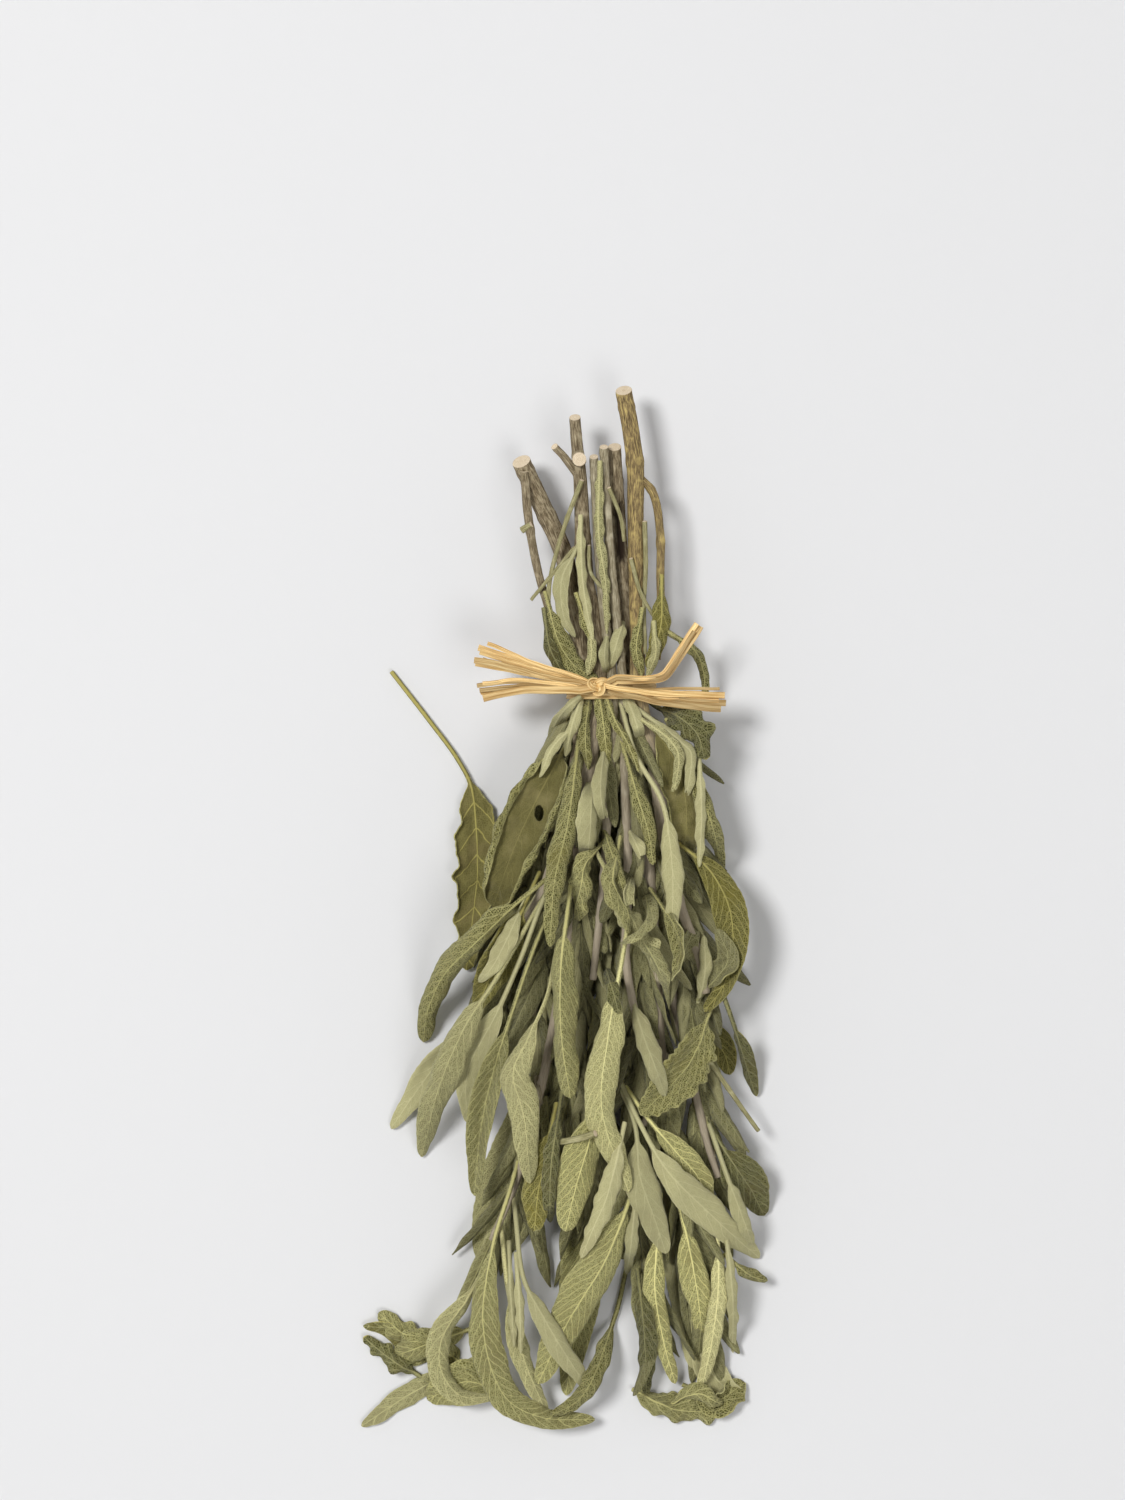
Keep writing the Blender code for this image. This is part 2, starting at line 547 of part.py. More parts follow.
FRONT_LEAVES = [
    leaf("loose_leaf_long_stalk",
         [(-52.5, 73.2), (-40.2, 57.3), (-32.0, 46), (-27.6, 36), (-26.1, 13.8), (-27.3, 0), (-29.5, -18)],
         15, GREEN_LEAF, stalk=0.42, fold=8, curl=25, front=False),
    leaf("right_edge_leaf_back", [(25.5, 58), (33.5, 46), (37, 32), (36, 15)], 14, GREEN_LEAF, curl=40,
         stalk=0.1, front=False),
    leaf("right_edge_leaf_narrow", [(34, 52), (41, 36), (45.5, 24), (48.6, 10)], 6.5, GREEN_LEAF, curl=-110),
    leaf("right_arc_leaf", [(35, 21), (43.6, 13.5), (49.5, 3.0), (51.2, -9), (48.5, -21), (42.6, -29.4)],
         10.5, YELLOW_LEAF, stalk=0.08, curl=50),
    leaf("right_low_olive_leaf", [(43.5, -63), (51, -75), (57, -84), (61.5, -93)], 13, DARK_LEAF, curl=40,
         stalk=0.3, front=False),
    leaf("right_dark_cup_leaf", [(43.0, -33), (46.5, -39), (49.5, -44), (51, -50)], 9.5, YELLOW_LEAF,
         curl=90, stalk=0.1, front=False),
    leaf("right_small_rolled_leaf", [(48.0, -24), (51.6, -33.9), (54.8, -43.2), (59.1, -56.5)], 6.5,
         DARK_LEAF, stalk=0.35, curl=-80, twist=(0, 40), front=False),
    leaf("lower_left_outer_leaf", [(-33, -140), (-44, -146), (-52, -151), (-61.5, -157.5)], 7.5, PALE_LEAF,
         curl=-30, stalk=0.05, front=False),
    leaf("lower_left_olive_leaf", [(-29, -128), (-37, -131), (-44, -135.5), (-50, -138.5)], 9, GREEN_LEAF,
         curl=-40, stalk=0.05, front=False),
    leaf("lower_left_end_leaf", [(-41.5, -137), (-48, -132), (-54, -127.5), (-61, -127)], 6, DARK_LEAF,
         curl=90, stalk=0.05, front=False),
    leaf("cup_leaf_low_right", [(40, -131), (44, -139), (49, -145), (55, -148)], 9.5, PALE_LEAF, curl=90,
         stalk=0.1, front=False),
    leaf("left_cupped_leaf", [(0.5, 50), (-7.0, 36), (-14.5, 20), (-21.0, 2)], 18, GREEN_LEAF, stalk=0.06,
         curl=110, fold=-5),
    leaf("left_olive_leaf", [(-10.0, 6.0), (-16.5, -8), (-21.5, -18), (-26.0, -29)], 12, YELLOW_LEAF,
         curl=60, stalk=0.15),
    leaf("left_pale_leaf_back", [(-27, -32), (-36, -43), (-44, -54), (-52.5, -66.5)], 8.5, PALE_LEAF,
         curl=20, stalk=0.15),
    leaf("left_beige_leaf", [(-6.6, 2.7), (-13, -14), (-20.0, -30), (-28.5, -47), (-28.8, -63)], 8.5,
         PALE_LEAF, curl=60, stalk=0.45),
    leaf("left_rolled_leaf", [(-4.0, 11.5), (-14.7, 3.0), (-26, -8), (-35.5, -18), (-41, -30), (-42.6, -40)],
         14, GREEN_LEAF, stalk=0.2, curl=-230),
    leaf("left_sprig_leaf_long", [(-12.3, -6), (-20.5, -20), (-29.5, -34), (-37.2, -52), (-43.2, -75)], 12.5,
         PALE_LEAF, stalk=0.3, curl=-130),
    leaf("left_sprig_leaf_folded", [(-9.5, -12), (-15.5, -30), (-20.5, -46), (-24.5, -64), (-26.6, -85)],
         10.5, GREEN_LEAF, stalk=0.32, fold=38, curl=20, twist=(20, 20)),
    leaf("yellow_leaf_low_left", [(-3.5, -64), (-5.5, -74), (-7.5, -84), (-8.5, -95)], 10.5, YELLOW_LEAF,
         stalk=0.06, curl=-60),
    leaf("middle_low_broad_leaf", [(11.0, -56), (7.5, -68), (4.0, -80), (0.8, -95)], 14.5, GREEN_LEAF,
         stalk=0.08, curl=-60),
    leaf("left_wavy_leaf", [(-4.5, -24), (-10, -36), (-14.6, -47), (-11.5, -60), (-9.9, -80)], 11.5,
         PALE_LEAF, stalk=0.14, curl=-60, twist=(50, -25)),
    leaf("lower_left_pale_back_leaf", [(-18.0, -101), (-16.5, -114), (-12.5, -133), (-5.0, -153)], 7.5,
         PALE_LEAF, stalk=0.3, curl=-60),
    leaf("lower_left_arc_leaf", [(-24, -108), (-30, -118), (-36.5, -128.5), (-37, -139), (-31, -147),
                                 (-21, -147.5)], 9, PALE_LEAF, stalk=0.12, curl=-90, twist=(0, -30)),
    leaf("bright_midrib_leaf", [(20.5, -84), (12.5, -104), (1.5, -123), (-7.5, -142.5)], 15.5, GREEN_LEAF,
         stalk=0.08, curl=-40),
    leaf("lower_left_long_leaf", [(-15.6, -82), (-21.0, -100), (-24.0, -124), (-18.5, -145), (-7, -153),
                                  (9.6, -154.5)], 11, GREEN_LEAF, stalk=0.2, curl=-50),
    leaf("lower_left_pale_leaf", [(-14.2, -92), (-12.0, -109), (-6, -121), (8.4, -146)], 8, PALE_LEAF,
         stalk=0.36, curl=-80),
    leaf("lower_right_green_leaf", [(36, -92), (39.0, -106), (41, -117), (42.6, -130)], 10, GREEN_LEAF,
         stalk=0.1, curl=-60),
    leaf("lower_right_edge_leaf", [(46.5, -94), (47.0, -112), (45.0, -131), (41.2, -150)], 7, PALE_LEAF,
         stalk=0.15, curl=-110),
    leaf("lower_right_long_leaf", [(29, -92), (27.6, -112), (30, -128), (34.2, -144)], 8.5, GREEN_LEAF,
         stalk=0.1, curl=-90),
    leaf("lower_right_sprig_leaf_green", [(24.6, -60), (33, -70), (40.5, -79), (45.5, -90)], 9, GREEN_LEAF,
         stalk=0.15, curl=-70),
    leaf("lower_right_sprig_leaf_pale", [(21.6, -63), (23.0, -78), (27, -90), (31, -102)], 11, PALE_LEAF,
         stalk=0.12, curl=-40),
    leaf("lower_right_sprig_leaf_long", [(22.8, -62), (31, -76), (44, -90), (60, -106)], 11, PALE_LEAF,
         stalk=0.15, curl=-50),
    leaf("right_toothed_leaf", [(43.6, -31), (38.5, -43), (31, -52), (23.2, -59.5)], 14, GREEN_LEAF,
         stalk=0.06, curl=-50, twist=(-20, -20)),
    leaf("middle_folded_leaf", [(1.5, 2), (-0.5, -14), (-0.5, -34), (2.2, -54.5)], 15, GREEN_LEAF,
         stalk=0.14, fold=-28, curl=-20),
    leaf("upper_left_pebbled_leaf", [(4.5, 51), (1.6, 28), (-2.5, 10), (-3.8, -9)], 9, GREEN_LEAF,
         stalk=0.08, curl=-120),
    leaf("upper_right_pebbled_leaf", [(19.2, 46), (22.6, 34), (25.4, 25), (26.9, 15)], 6.5, GREEN_LEAF,
         stalk=0.1, curl=-120),
    leaf("right_crumpled_leaf", [(29.0, 62), (35.0, 59), (40.5, 53.5), (42.5, 46.5)], 10.5, DARK_LEAF,
         stalk=0.05, curl=-60),
    leaf("middle_curled_leaf", [(12.6, 14), (18.6, 2.5), (24.5, -9), (31.0, -23)], 8, PALE_LEAF, stalk=0.08,
         curl=-70),
    leaf("central_big_leaf", [(18.0, -11), (13.4, -36), (11.6, -58), (19.6, -82.5)], 12.5, GREEN_LEAF,
         stalk=0.16, curl=-60),
    leaf("right_long_pale_leaf", [(18.0, 61), (21.5, 48), (29.4, 34), (32.1, 20), (32.8, 8), (32.4, -6)],
         7.5, PALE_LEAF, stalk=0.5, curl=-90),
]

RAFFIA_ENDS = [
    strip("raffia_end_left_upper", [(5.0, 69.8), (-6, 72.5), (-17, 76), (-26, 79.2)], 1.8, 4.6),
    strip("raffia_end_left_lower", [(5.0, 67.6), (-6, 68.4), (-16, 68.2), (-26, 66.6)], 1.8, 3.4),
    strip("raffia_end_right_long", [(16.0, 67.2), (27, 65.6), (38, 65.0), (49.5, 64.4)], 2.0, 5.0),
    strip("raffia_end_right_short", [(16.0, 70.4), (28.8, 71.0), (34.0, 77.5), (40.2, 85.8)], 1.8, 2.8),
]


def main():
    for old in list(bpy.data.objects):
        bpy.data.objects.remove(old)
    bunch = bpy.data.collections.new("sage_bunch")
    guides = bpy.data.collections.new("guides")
    bpy.context.scene.collection.children.link(bunch)
    bpy.context.scene.collection.children.link(guides)
    heap = Heap()
    for piece in BACK_LEAVES:
        add_leaf(piece, heap, bunch)
    for stem in STEMS:
        add_stem(stem, heap, bunch, guides)
    add_wrap(heap, bunch)
    for piece in FRONT_LEAVES:
        add_leaf(piece, heap, bunch)
    add_knot(heap, bunch)
    for piece in RAFFIA_ENDS:
        add_leaf(piece, heap, bunch)


main()
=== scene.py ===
# %% [markdown]
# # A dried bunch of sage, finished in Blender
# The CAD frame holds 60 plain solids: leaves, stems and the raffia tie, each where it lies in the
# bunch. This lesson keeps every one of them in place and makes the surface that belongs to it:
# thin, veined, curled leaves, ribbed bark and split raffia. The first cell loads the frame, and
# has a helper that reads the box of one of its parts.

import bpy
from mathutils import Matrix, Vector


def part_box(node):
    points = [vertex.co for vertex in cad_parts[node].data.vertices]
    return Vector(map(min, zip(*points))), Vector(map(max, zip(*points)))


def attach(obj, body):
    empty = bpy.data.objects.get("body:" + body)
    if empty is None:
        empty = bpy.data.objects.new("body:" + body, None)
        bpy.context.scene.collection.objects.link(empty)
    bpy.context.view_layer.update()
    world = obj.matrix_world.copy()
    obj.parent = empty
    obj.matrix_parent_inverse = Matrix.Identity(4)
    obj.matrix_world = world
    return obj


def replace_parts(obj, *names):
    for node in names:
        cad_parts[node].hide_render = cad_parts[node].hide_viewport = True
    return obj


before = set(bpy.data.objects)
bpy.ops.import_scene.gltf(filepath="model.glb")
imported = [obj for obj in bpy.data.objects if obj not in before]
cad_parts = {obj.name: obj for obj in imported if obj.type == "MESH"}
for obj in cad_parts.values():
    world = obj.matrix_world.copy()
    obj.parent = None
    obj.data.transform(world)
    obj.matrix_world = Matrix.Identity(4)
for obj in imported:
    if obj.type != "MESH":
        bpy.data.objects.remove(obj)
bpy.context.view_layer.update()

# %% [markdown]
# ## The studio
# The bunch lies on pale paper. A flat plane would do for the view from above, but from the side its
# far edge would show as a line, so the paper is a round sheet whose rim bends up in a cove. It is a
# profile of rings turned about the middle.

# %% The paper floor
import math

import bpy
import numpy as np
from mathutils import Vector, noise

MM = 0.001


def plain_material(name, colour, roughness, **sockets):
    """A material of one colour and its shader; more sockets are named with _ for a space."""
    material = bpy.data.materials.new(name)
    material.use_nodes = True
    shader = material.node_tree.nodes["Principled BSDF"]
    shader.inputs["Base Color"].default_value = (*colour, 1)
    shader.inputs["Roughness"].default_value = roughness
    for key, value in sockets.items():
        shader.inputs[key.replace("_", " ")].default_value = value
    return material, shader


def put_in_scene(name, data):
    item = bpy.data.objects.new(name, data)
    bpy.context.scene.collection.objects.link(item)
    return item


def paper_cove(reach=2.4, bend=0.7, wall=1.2, sides=96):
    """A round sheet: flat to the reach, then a bend, then a wall. Lengths are metres."""
    turn = np.linspace(0, math.pi / 2, 13)
    out = np.concatenate([[reach / 2], reach + bend * np.sin(turn), [reach + bend]])
    up = np.concatenate([[0], bend * (1 - np.cos(turn)), [bend + wall]]) - 0.0004
    angle = np.linspace(0, 2 * math.pi, sides, endpoint=False)
    rings = [[(r * math.cos(a), r * math.sin(a), z) for a in angle] for r, z in zip(out, up)]
    points = [point for ring in rings for point in ring]
    faces = [tuple(range(sides))]
    for row in range(len(rings) - 1):
        for i in range(sides):
            j = (i + 1) % sides
            near, far = row * sides, (row + 1) * sides
            faces.append((near + i, far + i, far + j, near + j))
    mesh = bpy.data.meshes.new("floor")
    mesh.from_pydata(points, [], faces)
    mesh.shade_smooth()
    return put_in_scene("floor", mesh)


floor = paper_cove()
floor.data.materials.append(plain_material("pale paper", (0.77, 0.77, 0.775), 0.9)[0])

print("Floor:", len(floor.data.polygons), "faces")

# %% [markdown]
# A small strong lamp stands to the left, towards the stems, and gives every leaf a dark side. A wide
# weak one opposite keeps the shadows open, and a white world fills the rest. The camera looks
# straight down with a long lens. It could stand further off, but then the crown of the bunch would
# lose the little perspective it has.

# %% Lights, world and camera
def area_light(name, place, size, power):
    """A round lamp that shines at the middle of the bunch."""
    lamp = bpy.data.lights.new(name, "AREA")
    lamp.shape, lamp.size, lamp.energy = "DISK", size, power
    light = put_in_scene(name, lamp)
    light.location = place
    light.rotation_euler = (-Vector(place)).to_track_quat("-Z", "Y").to_euler()
    return light


lights = [area_light("key", (-1.30, 0.75, 2.70), 0.9, 63),
          area_light("fill", (1.0, -1.3, 2.6), 1.6, 23)]

world = bpy.data.worlds.new("white studio")
world.use_nodes = True
background = world.node_tree.nodes["Background"]
background.inputs["Color"].default_value = (1, 1, 1, 1)
background.inputs["Strength"].default_value = 0.22
bpy.context.scene.world = world
bpy.context.scene.view_settings.view_transform = "Standard"

camera_data = bpy.data.cameras.new("camera")
camera_data.sensor_width, camera_data.lens = 36, 80
camera = put_in_scene("camera", camera_data)
camera.location = (-0.15 * MM, 49.2 * MM, 1020 * MM)
bpy.context.scene.camera = camera
print("Lights:", len(lights), "and the camera at", tuple(round(x, 4) for x in camera.location))

# %% [markdown]
# Each leaf follows a smooth line over the bunch. The same rules that drew the CAD leaves give that
# line, the width of the blade and the slope of its cross-section, so a detailed leaf lies exactly
# where its solid does. Everything here is in millimetres until a mesh is made.

# %% Lines over the bunch
RINGS = 9                # the CAD leaf has this many cross-sections
CAD_THICKNESS = 0.8
STALK_WIDTH = 1.8


def smooth_route(points, count):
    """A smooth curve through the points, as `count` points at even distances along it."""
    pts = np.array(points, float)
    steps = np.linalg.norm(np.diff(pts, axis=0), axis=1)
    knots = np.concatenate([[0.0], np.cumsum(np.sqrt(steps))])
    before = 2 * pts[0] - pts[1]
    after = 2 * pts[-1] - pts[-2]
    pts = np.vstack([before, pts, after])
    knots = np.concatenate([[2 * knots[0] - knots[1]], knots, [2 * knots[-1] - knots[-2]]])
    fine = []
    for i in range(1, len(pts) - 2):
        t0, t1, t2, t3 = knots[i - 1 : i + 3]
        m1 = (pts[i + 1] - pts[i - 1]) / (t2 - t0) * (t2 - t1)
        m2 = (pts[i + 2] - pts[i]) / (t3 - t1) * (t2 - t1)
        for u in np.linspace(0, 1, 24, endpoint=i == len(pts) - 3):
            h = (2 * u**3 - 3 * u**2 + 1, u**3 - 2 * u**2 + u, 3 * u**2 - 2 * u**3, u**3 - u**2)
            fine.append(h[0] * pts[i] + h[1] * m1 + h[2] * pts[i + 1] + h[3] * m2)
    fine = np.array(fine)
    run = np.concatenate([[0.0], np.cumsum(np.linalg.norm(np.diff(fine, axis=0), axis=1))])
    wanted = np.linspace(0, run[-1], count)
    return np.array([np.interp(wanted, run, fine[:, k]) for k in range(fine.shape[1])]).T


def route_length(points):
    return np.linalg.norm(np.diff(smooth_route(points, 60), axis=0), axis=1).sum()


def across_direction(route):
    """Level unit vectors square to the route, one for each of its points."""
    along = np.gradient(route[:, :2], axis=0)
    along /= np.linalg.norm(along, axis=1)[:, None]
    return np.stack([-along[:, 1], along[:, 0]], axis=1)


def smooth_step(x, low, high):
    t = np.clip((x - low) / (high - low), 0, 1)
    return t * t * (3 - 2 * t)


print("A leaf line of 60 mm:", round(route_length([(0, 0), (30, 0), (60, 0)]), 2), "mm")

# %% [markdown]
# ## What a sage leaf is
# A sage leaf is a thin felted blade on a stalk. Its veins divide it into small quilted cushions,
# and as it dries the blade folds, cups or rolls along its midrib and the margin turns under. It
# could be a plane with a displacement picture, or a sculpted mesh. Here the cross-section is
# worked out row by row from a few plain numbers (fold, curl, hem), because one rule then makes
# sixty different leaves, and the folds, ripples and quilting are in the mesh and not only in
# the material.

# %% Width and cross-section of a leaf
TOOTH_LENGTH = 2.7
TIP_STARTS, TIP_ROUNDING = 0.7, 0.35     # from this share of the blade on, its tip gets rounder


def half_width(leaf, share):
    """Half the width at shares of the length: a narrow stalk, then the blade to its round tip."""
    u = np.clip((share - leaf["stalk"]) / (1 - leaf["stalk"]), 0, 1)
    tip = np.clip((u - TIP_STARTS) / 0.28, 0, 1)
    power = np.maximum(leaf["taper"] - TIP_ROUNDING * tip, 0.5)
    blade = leaf["width"] / 2 * np.maximum(np.sin(np.pi * u**0.82), 0) ** power
    stalk = STALK_WIDTH / 2 * (0.75 * (1 - u) + 0.12 * u)
    return np.maximum(blade, stalk)


def soft_noise(spots):
    """Blender's own smooth noise, about -1 to 1, at many points."""
    return np.array([noise.noise(Vector(spot)) for spot in spots])


def sway(leaf, share, turns, start):
    """A slow wander between about -0.6 and 0.6 along the leaf, different for every leaf."""
    (x, y), wide = leaf["route"][0][:2], leaf["width"]
    return soft_noise([(turns * s + start, x * 0.37 + wide, y * 0.29) for s in share])


def cross_sections(leaf, share, v):
    """Sideways and upward places of every row's cross-section, before the leaf is wrinkled."""
    notch = np.abs(np.sin(np.pi * share * route_length(leaf["route"]) / TOOTH_LENGTH)) - 0.5
    half = (half_width(leaf, share) * (1 + leaf["teeth"] * notch))[:, None]
    narrow = np.minimum(1, 2.2 * half / leaf["width"])
    lean_over = sway(leaf, share, 1.6, 0) * leaf["sway"]
    twist = leaf["twist"][0] + (leaf["twist"][1] - leaf["twist"][0]) * share + lean_over
    twist = np.radians(twist)[:, None]
    crease = v / np.sqrt(v * v + 0.004)
    lopsided = 1 + 1.3 * np.sign(v) * sway(leaf, share, 2.1, 5)[:, None]
    slope = crease * math.radians(leaf["fold"]) + v * lopsided * math.radians(leaf["curl"]) / 2
    hem = np.sign(v) * math.radians(leaf["hem"]) * smooth_step(np.abs(v), leaf["hem_from"], 1.0)
    slope = (slope + hem) * narrow
    mean = (slope[:, 1:] + slope[:, :-1]) / 2
    step = half * (v[1] - v[0])
    zero = np.zeros((len(share), 1))
    side = np.hstack([zero, np.cumsum(np.cos(mean) * step, axis=1)])
    up = np.hstack([zero, np.cumsum(np.sin(mean) * step, axis=1)])
    middle = len(v) // 2
    side, up = side - side[:, middle : middle + 1], up - up[:, middle : middle + 1]
    return np.cos(twist) * side - np.sin(twist) * up, np.sin(twist) * side + np.cos(twist) * up


test = dict(width=14, taper=0.85, stalk=0.2)
print("Widest half:", round(float(half_width(test, np.linspace(0, 1, 50)).max()), 2), "mm")

# %% [markdown]
# A dry leaf is never smooth. Its margin ripples, the blade is crumpled, the furrows along the side
# veins quilt it and the midrib stands out of its back. A cloth simulation could crumple it, but
# could not be told where the veins are. Here each row and column of the grid is lifted by waves,
# smooth noise and a furrow for each vein.

# %% Wrinkles: ripples at the margin, crumpled felt and quilting between the veins
def vein_phase(leaf, along, across):
    """Counts the side veins: a whole number on each vein, a half between two."""
    return (along - np.abs(across) * leaf["lean"]) / leaf["pitch"]


def relief(leaf, share, v, along, across, number):
    """How far each point of the grid stands off the smooth leaf."""
    rows, cols = along.shape
    blade = smooth_step(share, leaf["stalk"] * 0.9, leaf["stalk"] + 0.12)
    blade = (blade * (1 - 0.6 * smooth_step(share, 0.9, 1.0)))[:, None]
    side = np.where(v < 0, 2.1, 0.0) + number * 1.7
    wave = np.sin(2 * np.pi * along / leaf["wave"] + side)
    wave = wave + 0.6 * np.sin(2 * np.pi * along / (0.57 * leaf["wave"]) + 2.3 * side)
    ripple = leaf["ripple"] * np.abs(v) ** 2.5 * wave
    own_place = np.full(rows * cols, number * 3.7)
    spots = np.column_stack([along.ravel() / 6, across.ravel() / 4.5, own_place])
    crumple = soft_noise(spots) + 0.5 * soft_noise(spots * 2.1 + 9)
    crumple = leaf["crumple"] * crumple.reshape(rows, cols)
    gap = np.abs(vein_phase(leaf, along, across) + 0.2 * crumple)
    gap = np.abs(gap - np.round(gap)) * 2
    quilt = -leaf["quilt"] * (1 - gap) ** 2
    rib = leaf["rib"] * np.exp(-((across / 0.5) ** 2)) * (1 - 0.7 * share[:, None])
    return blade * (ripple + crumple + quilt) + rib


print("Noise at three places:", soft_noise([(0.2, 0.1, 0), (1.7, 0.4, 0), (2.6, 0.9, 0)]).round(2))

# %% [markdown]
# A leaf has two skins: the upper, pebbled one and the under one with its pale felt. Two grids of
# points, one for each skin, are joined wherever the leaf ends: round the margin, round an eaten
# hole and along a broken tip. Solidify could do the same, but then the stalk could not be thicker
# than the blade.

# %% Two skins joined into a closed leaf
def closed_sheet(upper, lower, keep):
    """Vertices, faces and a skin number (0 upper, 1 lower) of the cells that are kept."""
    rows, cols = upper.shape[:2]
    index = np.arange(rows * cols).reshape(rows, cols)
    a, b, c, d = index[:-1, :-1], index[:-1, 1:], index[1:, 1:], index[1:, :-1]
    low = rows * cols
    open_to = np.pad(~keep, 1, constant_values=True)
    left, right = keep & open_to[1:-1, :-2], keep & open_to[1:-1, 2:]
    base, tip = keep & open_to[:-2, 1:-1], keep & open_to[2:, 1:-1]
    rims = [(left, (a + low, d + low, d, a)), (right, (b, c, c + low, b + low)),
            (base, (a, b, b + low, a + low)), (tip, (d + low, c + low, c, d))]
    faces = [np.stack([a, d, c, b], -1)[keep], np.stack([a, b, c, d], -1)[keep] + low]
    skins = [np.zeros(len(faces[0]), int), np.ones(len(faces[1]), int)]
    for where, corners in rims:
        faces.append(np.stack(corners, -1)[where])
        skins.append(np.ones(where.sum(), int))
    faces, skins = np.vstack(faces), np.concatenate(skins)
    used, faces = np.unique(faces, return_inverse=True)
    points = np.vstack([upper.reshape(-1, 3), lower.reshape(-1, 3)])[used]
    return points, faces.reshape(-1, 4), skins, used % low


def leaf_mesh(name, points, faces, materials, skins, values, uv):
    """A mesh from points in millimetres, with a material for each skin and its own attributes."""
    mesh = bpy.data.meshes.new(name)
    mesh.from_pydata((points * MM).tolist(), [], faces.tolist())
    for material in materials:
        mesh.materials.append(material)
    mesh.polygons.foreach_set("material_index", skins.astype(np.int32))
    for key, numbers in values.items():
        mesh.attributes.new(key, "FLOAT", "POINT").data.foreach_set("value", numbers.astype(np.float32))
    corner = np.zeros(len(mesh.loops), np.int32)
    mesh.loops.foreach_get("vertex_index", corner)
    layer = mesh.uv_layers.new(name="leaf_mm")
    layer.data.foreach_set("uv", uv.astype(np.float32)[corner].ravel())
    mesh.shade_smooth()
    mesh.set_sharp_from_angle(angle=math.radians(55))
    return mesh


print("Skins are ready: a 3 by 3 grid gives",
      len(closed_sheet(np.zeros((3, 3, 3)), np.zeros((3, 3, 3)), np.ones((2, 2), bool))[1]), "faces")

# %% [markdown]
# A whole leaf is a grid: its rows follow the line, its columns the cross-section. The upper skin is
# the grid pushed out along its normals by half the thickness and the under skin is pushed the
# other way. The stalk is round and thick, and the margin is thin.

# %% The two skins of a leaf as grids
BLADE_THICKNESS = 0.42
STALK_THICKNESS = 1.15
ROW_STEP = 0.68


def leaf_grid(leaf, level, number):
    """The two skins of a leaf as grids of points, with the distances along and across it."""
    length = route_length(leaf["route"])
    rows = int(np.clip(length / ROW_STEP, 24, 150))
    cols = 2 * int(np.clip(leaf["width"] * 0.95, 7, 13)) + 1
    share, v = np.linspace(0, 1, rows), np.linspace(-1, 1, cols)
    path = smooth_route(leaf["route"], rows)
    side, up = cross_sections(leaf, share, v)
    across = v * half_width(leaf, share)[:, None]
    along = np.repeat(share[:, None] * length, cols, axis=1)
    sideways = across_direction(path)
    knots = np.column_stack([np.arange(len(level)) * 10.0, level])
    height = smooth_route(knots, rows)[:, 1] if len(level) > 2 else np.linspace(*level, rows)
    points = np.empty((rows, cols, 3))
    points[:, :, :2] = path[:, None, :2] + side[:, :, None] * sideways[:, None, :]
    points[:, :, 2] = height[:, None] + up
    off = relief(leaf, share, v, along, across, number)
    points += grid_normals(points) * off[:, :, None]
    stalk = (1 - smooth_step(share, leaf["stalk"] * 0.7, leaf["stalk"] + 0.06))[:, None]
    thick = BLADE_THICKNESS * (1 - 0.15 * np.abs(v) ** 4)
    thick = thick + 0.4 * np.exp(-((across / 0.45) ** 2)) * (1 - share[:, None])
    thick = thick * (1 - stalk) + stalk * STALK_THICKNESS * np.sqrt(1 - 0.93 * v**2)
    points[:, :, 2] = np.maximum(points[:, :, 2], thick / 2)
    normals = grid_normals(points) * thick[:, :, None] / 2
    return points + normals, points - normals, share, v, along, across


def grid_normals(points):
    along, across = np.gradient(points, axis=0), np.gradient(points, axis=1)
    normal = np.cross(along, across)
    return normal / np.maximum(np.linalg.norm(normal, axis=2, keepdims=True), 1e-9)


print("A blade is", BLADE_THICKNESS, "mm thick and a stalk", STALK_THICKNESS, "mm")

# %% [markdown]
# Insects eat holes and dry tips break off. A boolean cut would leave untidy triangles along such an
# edge. Here the points of the grid that fall inside a hole are pushed out to its rim first, and
# then the cells between them are left out, so the rim is smooth and still a clean grid.

# %% Holes and broken tips
def open_holes(leaf, upper, lower):
    """Push the points inside a hole out to its rim, and mark the cells that are all inside."""
    gone = np.zeros((upper.shape[0] - 1, upper.shape[1] - 1), bool)
    for x, y, wide, tall in leaf["holes"]:
        away = (upper[:, :, :2] - (x, y)) / (wide, tall)
        reach = np.maximum(np.linalg.norm(away, axis=2), 1e-6)
        inside = reach < 1
        rim = (x, y) + away / reach[:, :, None] * (wide, tall)
        for skin in (upper, lower):
            skin[:, :, :2][inside] = rim[inside]
        gone |= inside[:-1, :-1] & inside[1:, :-1] & inside[:-1, 1:] & inside[1:, 1:]
    return gone


def kept_cells(leaf, share, v, upper, lower, number):
    """Cells of the blade that are there: not eaten, and not broken off at the tip."""
    keep = ~open_holes(leaf, upper, lower)
    if leaf["broken"]:
        jag = np.random.default_rng(number).uniform(0, 0.035, len(v) - 1)
        keep &= share[1:, None] < 1 - leaf["broken"] - np.cumsum(jag - jag.mean())
    return keep


print("Rows of a tip that is broken by a tenth:",
      kept_cells(dict(holes=(), broken=0.1), np.linspace(0, 1, 30), np.linspace(-1, 1, 5),
                 np.zeros((30, 5, 3)), np.zeros((30, 5, 3)), 1).sum(axis=0))

# %% [markdown]
# The leaf materials need to know where on the leaf they are, so each point carries its share of the
# length, its nearness to the margin and the tone of its leaf, and a map in millimetres. Several
# leaves with one look are joined into one piece.

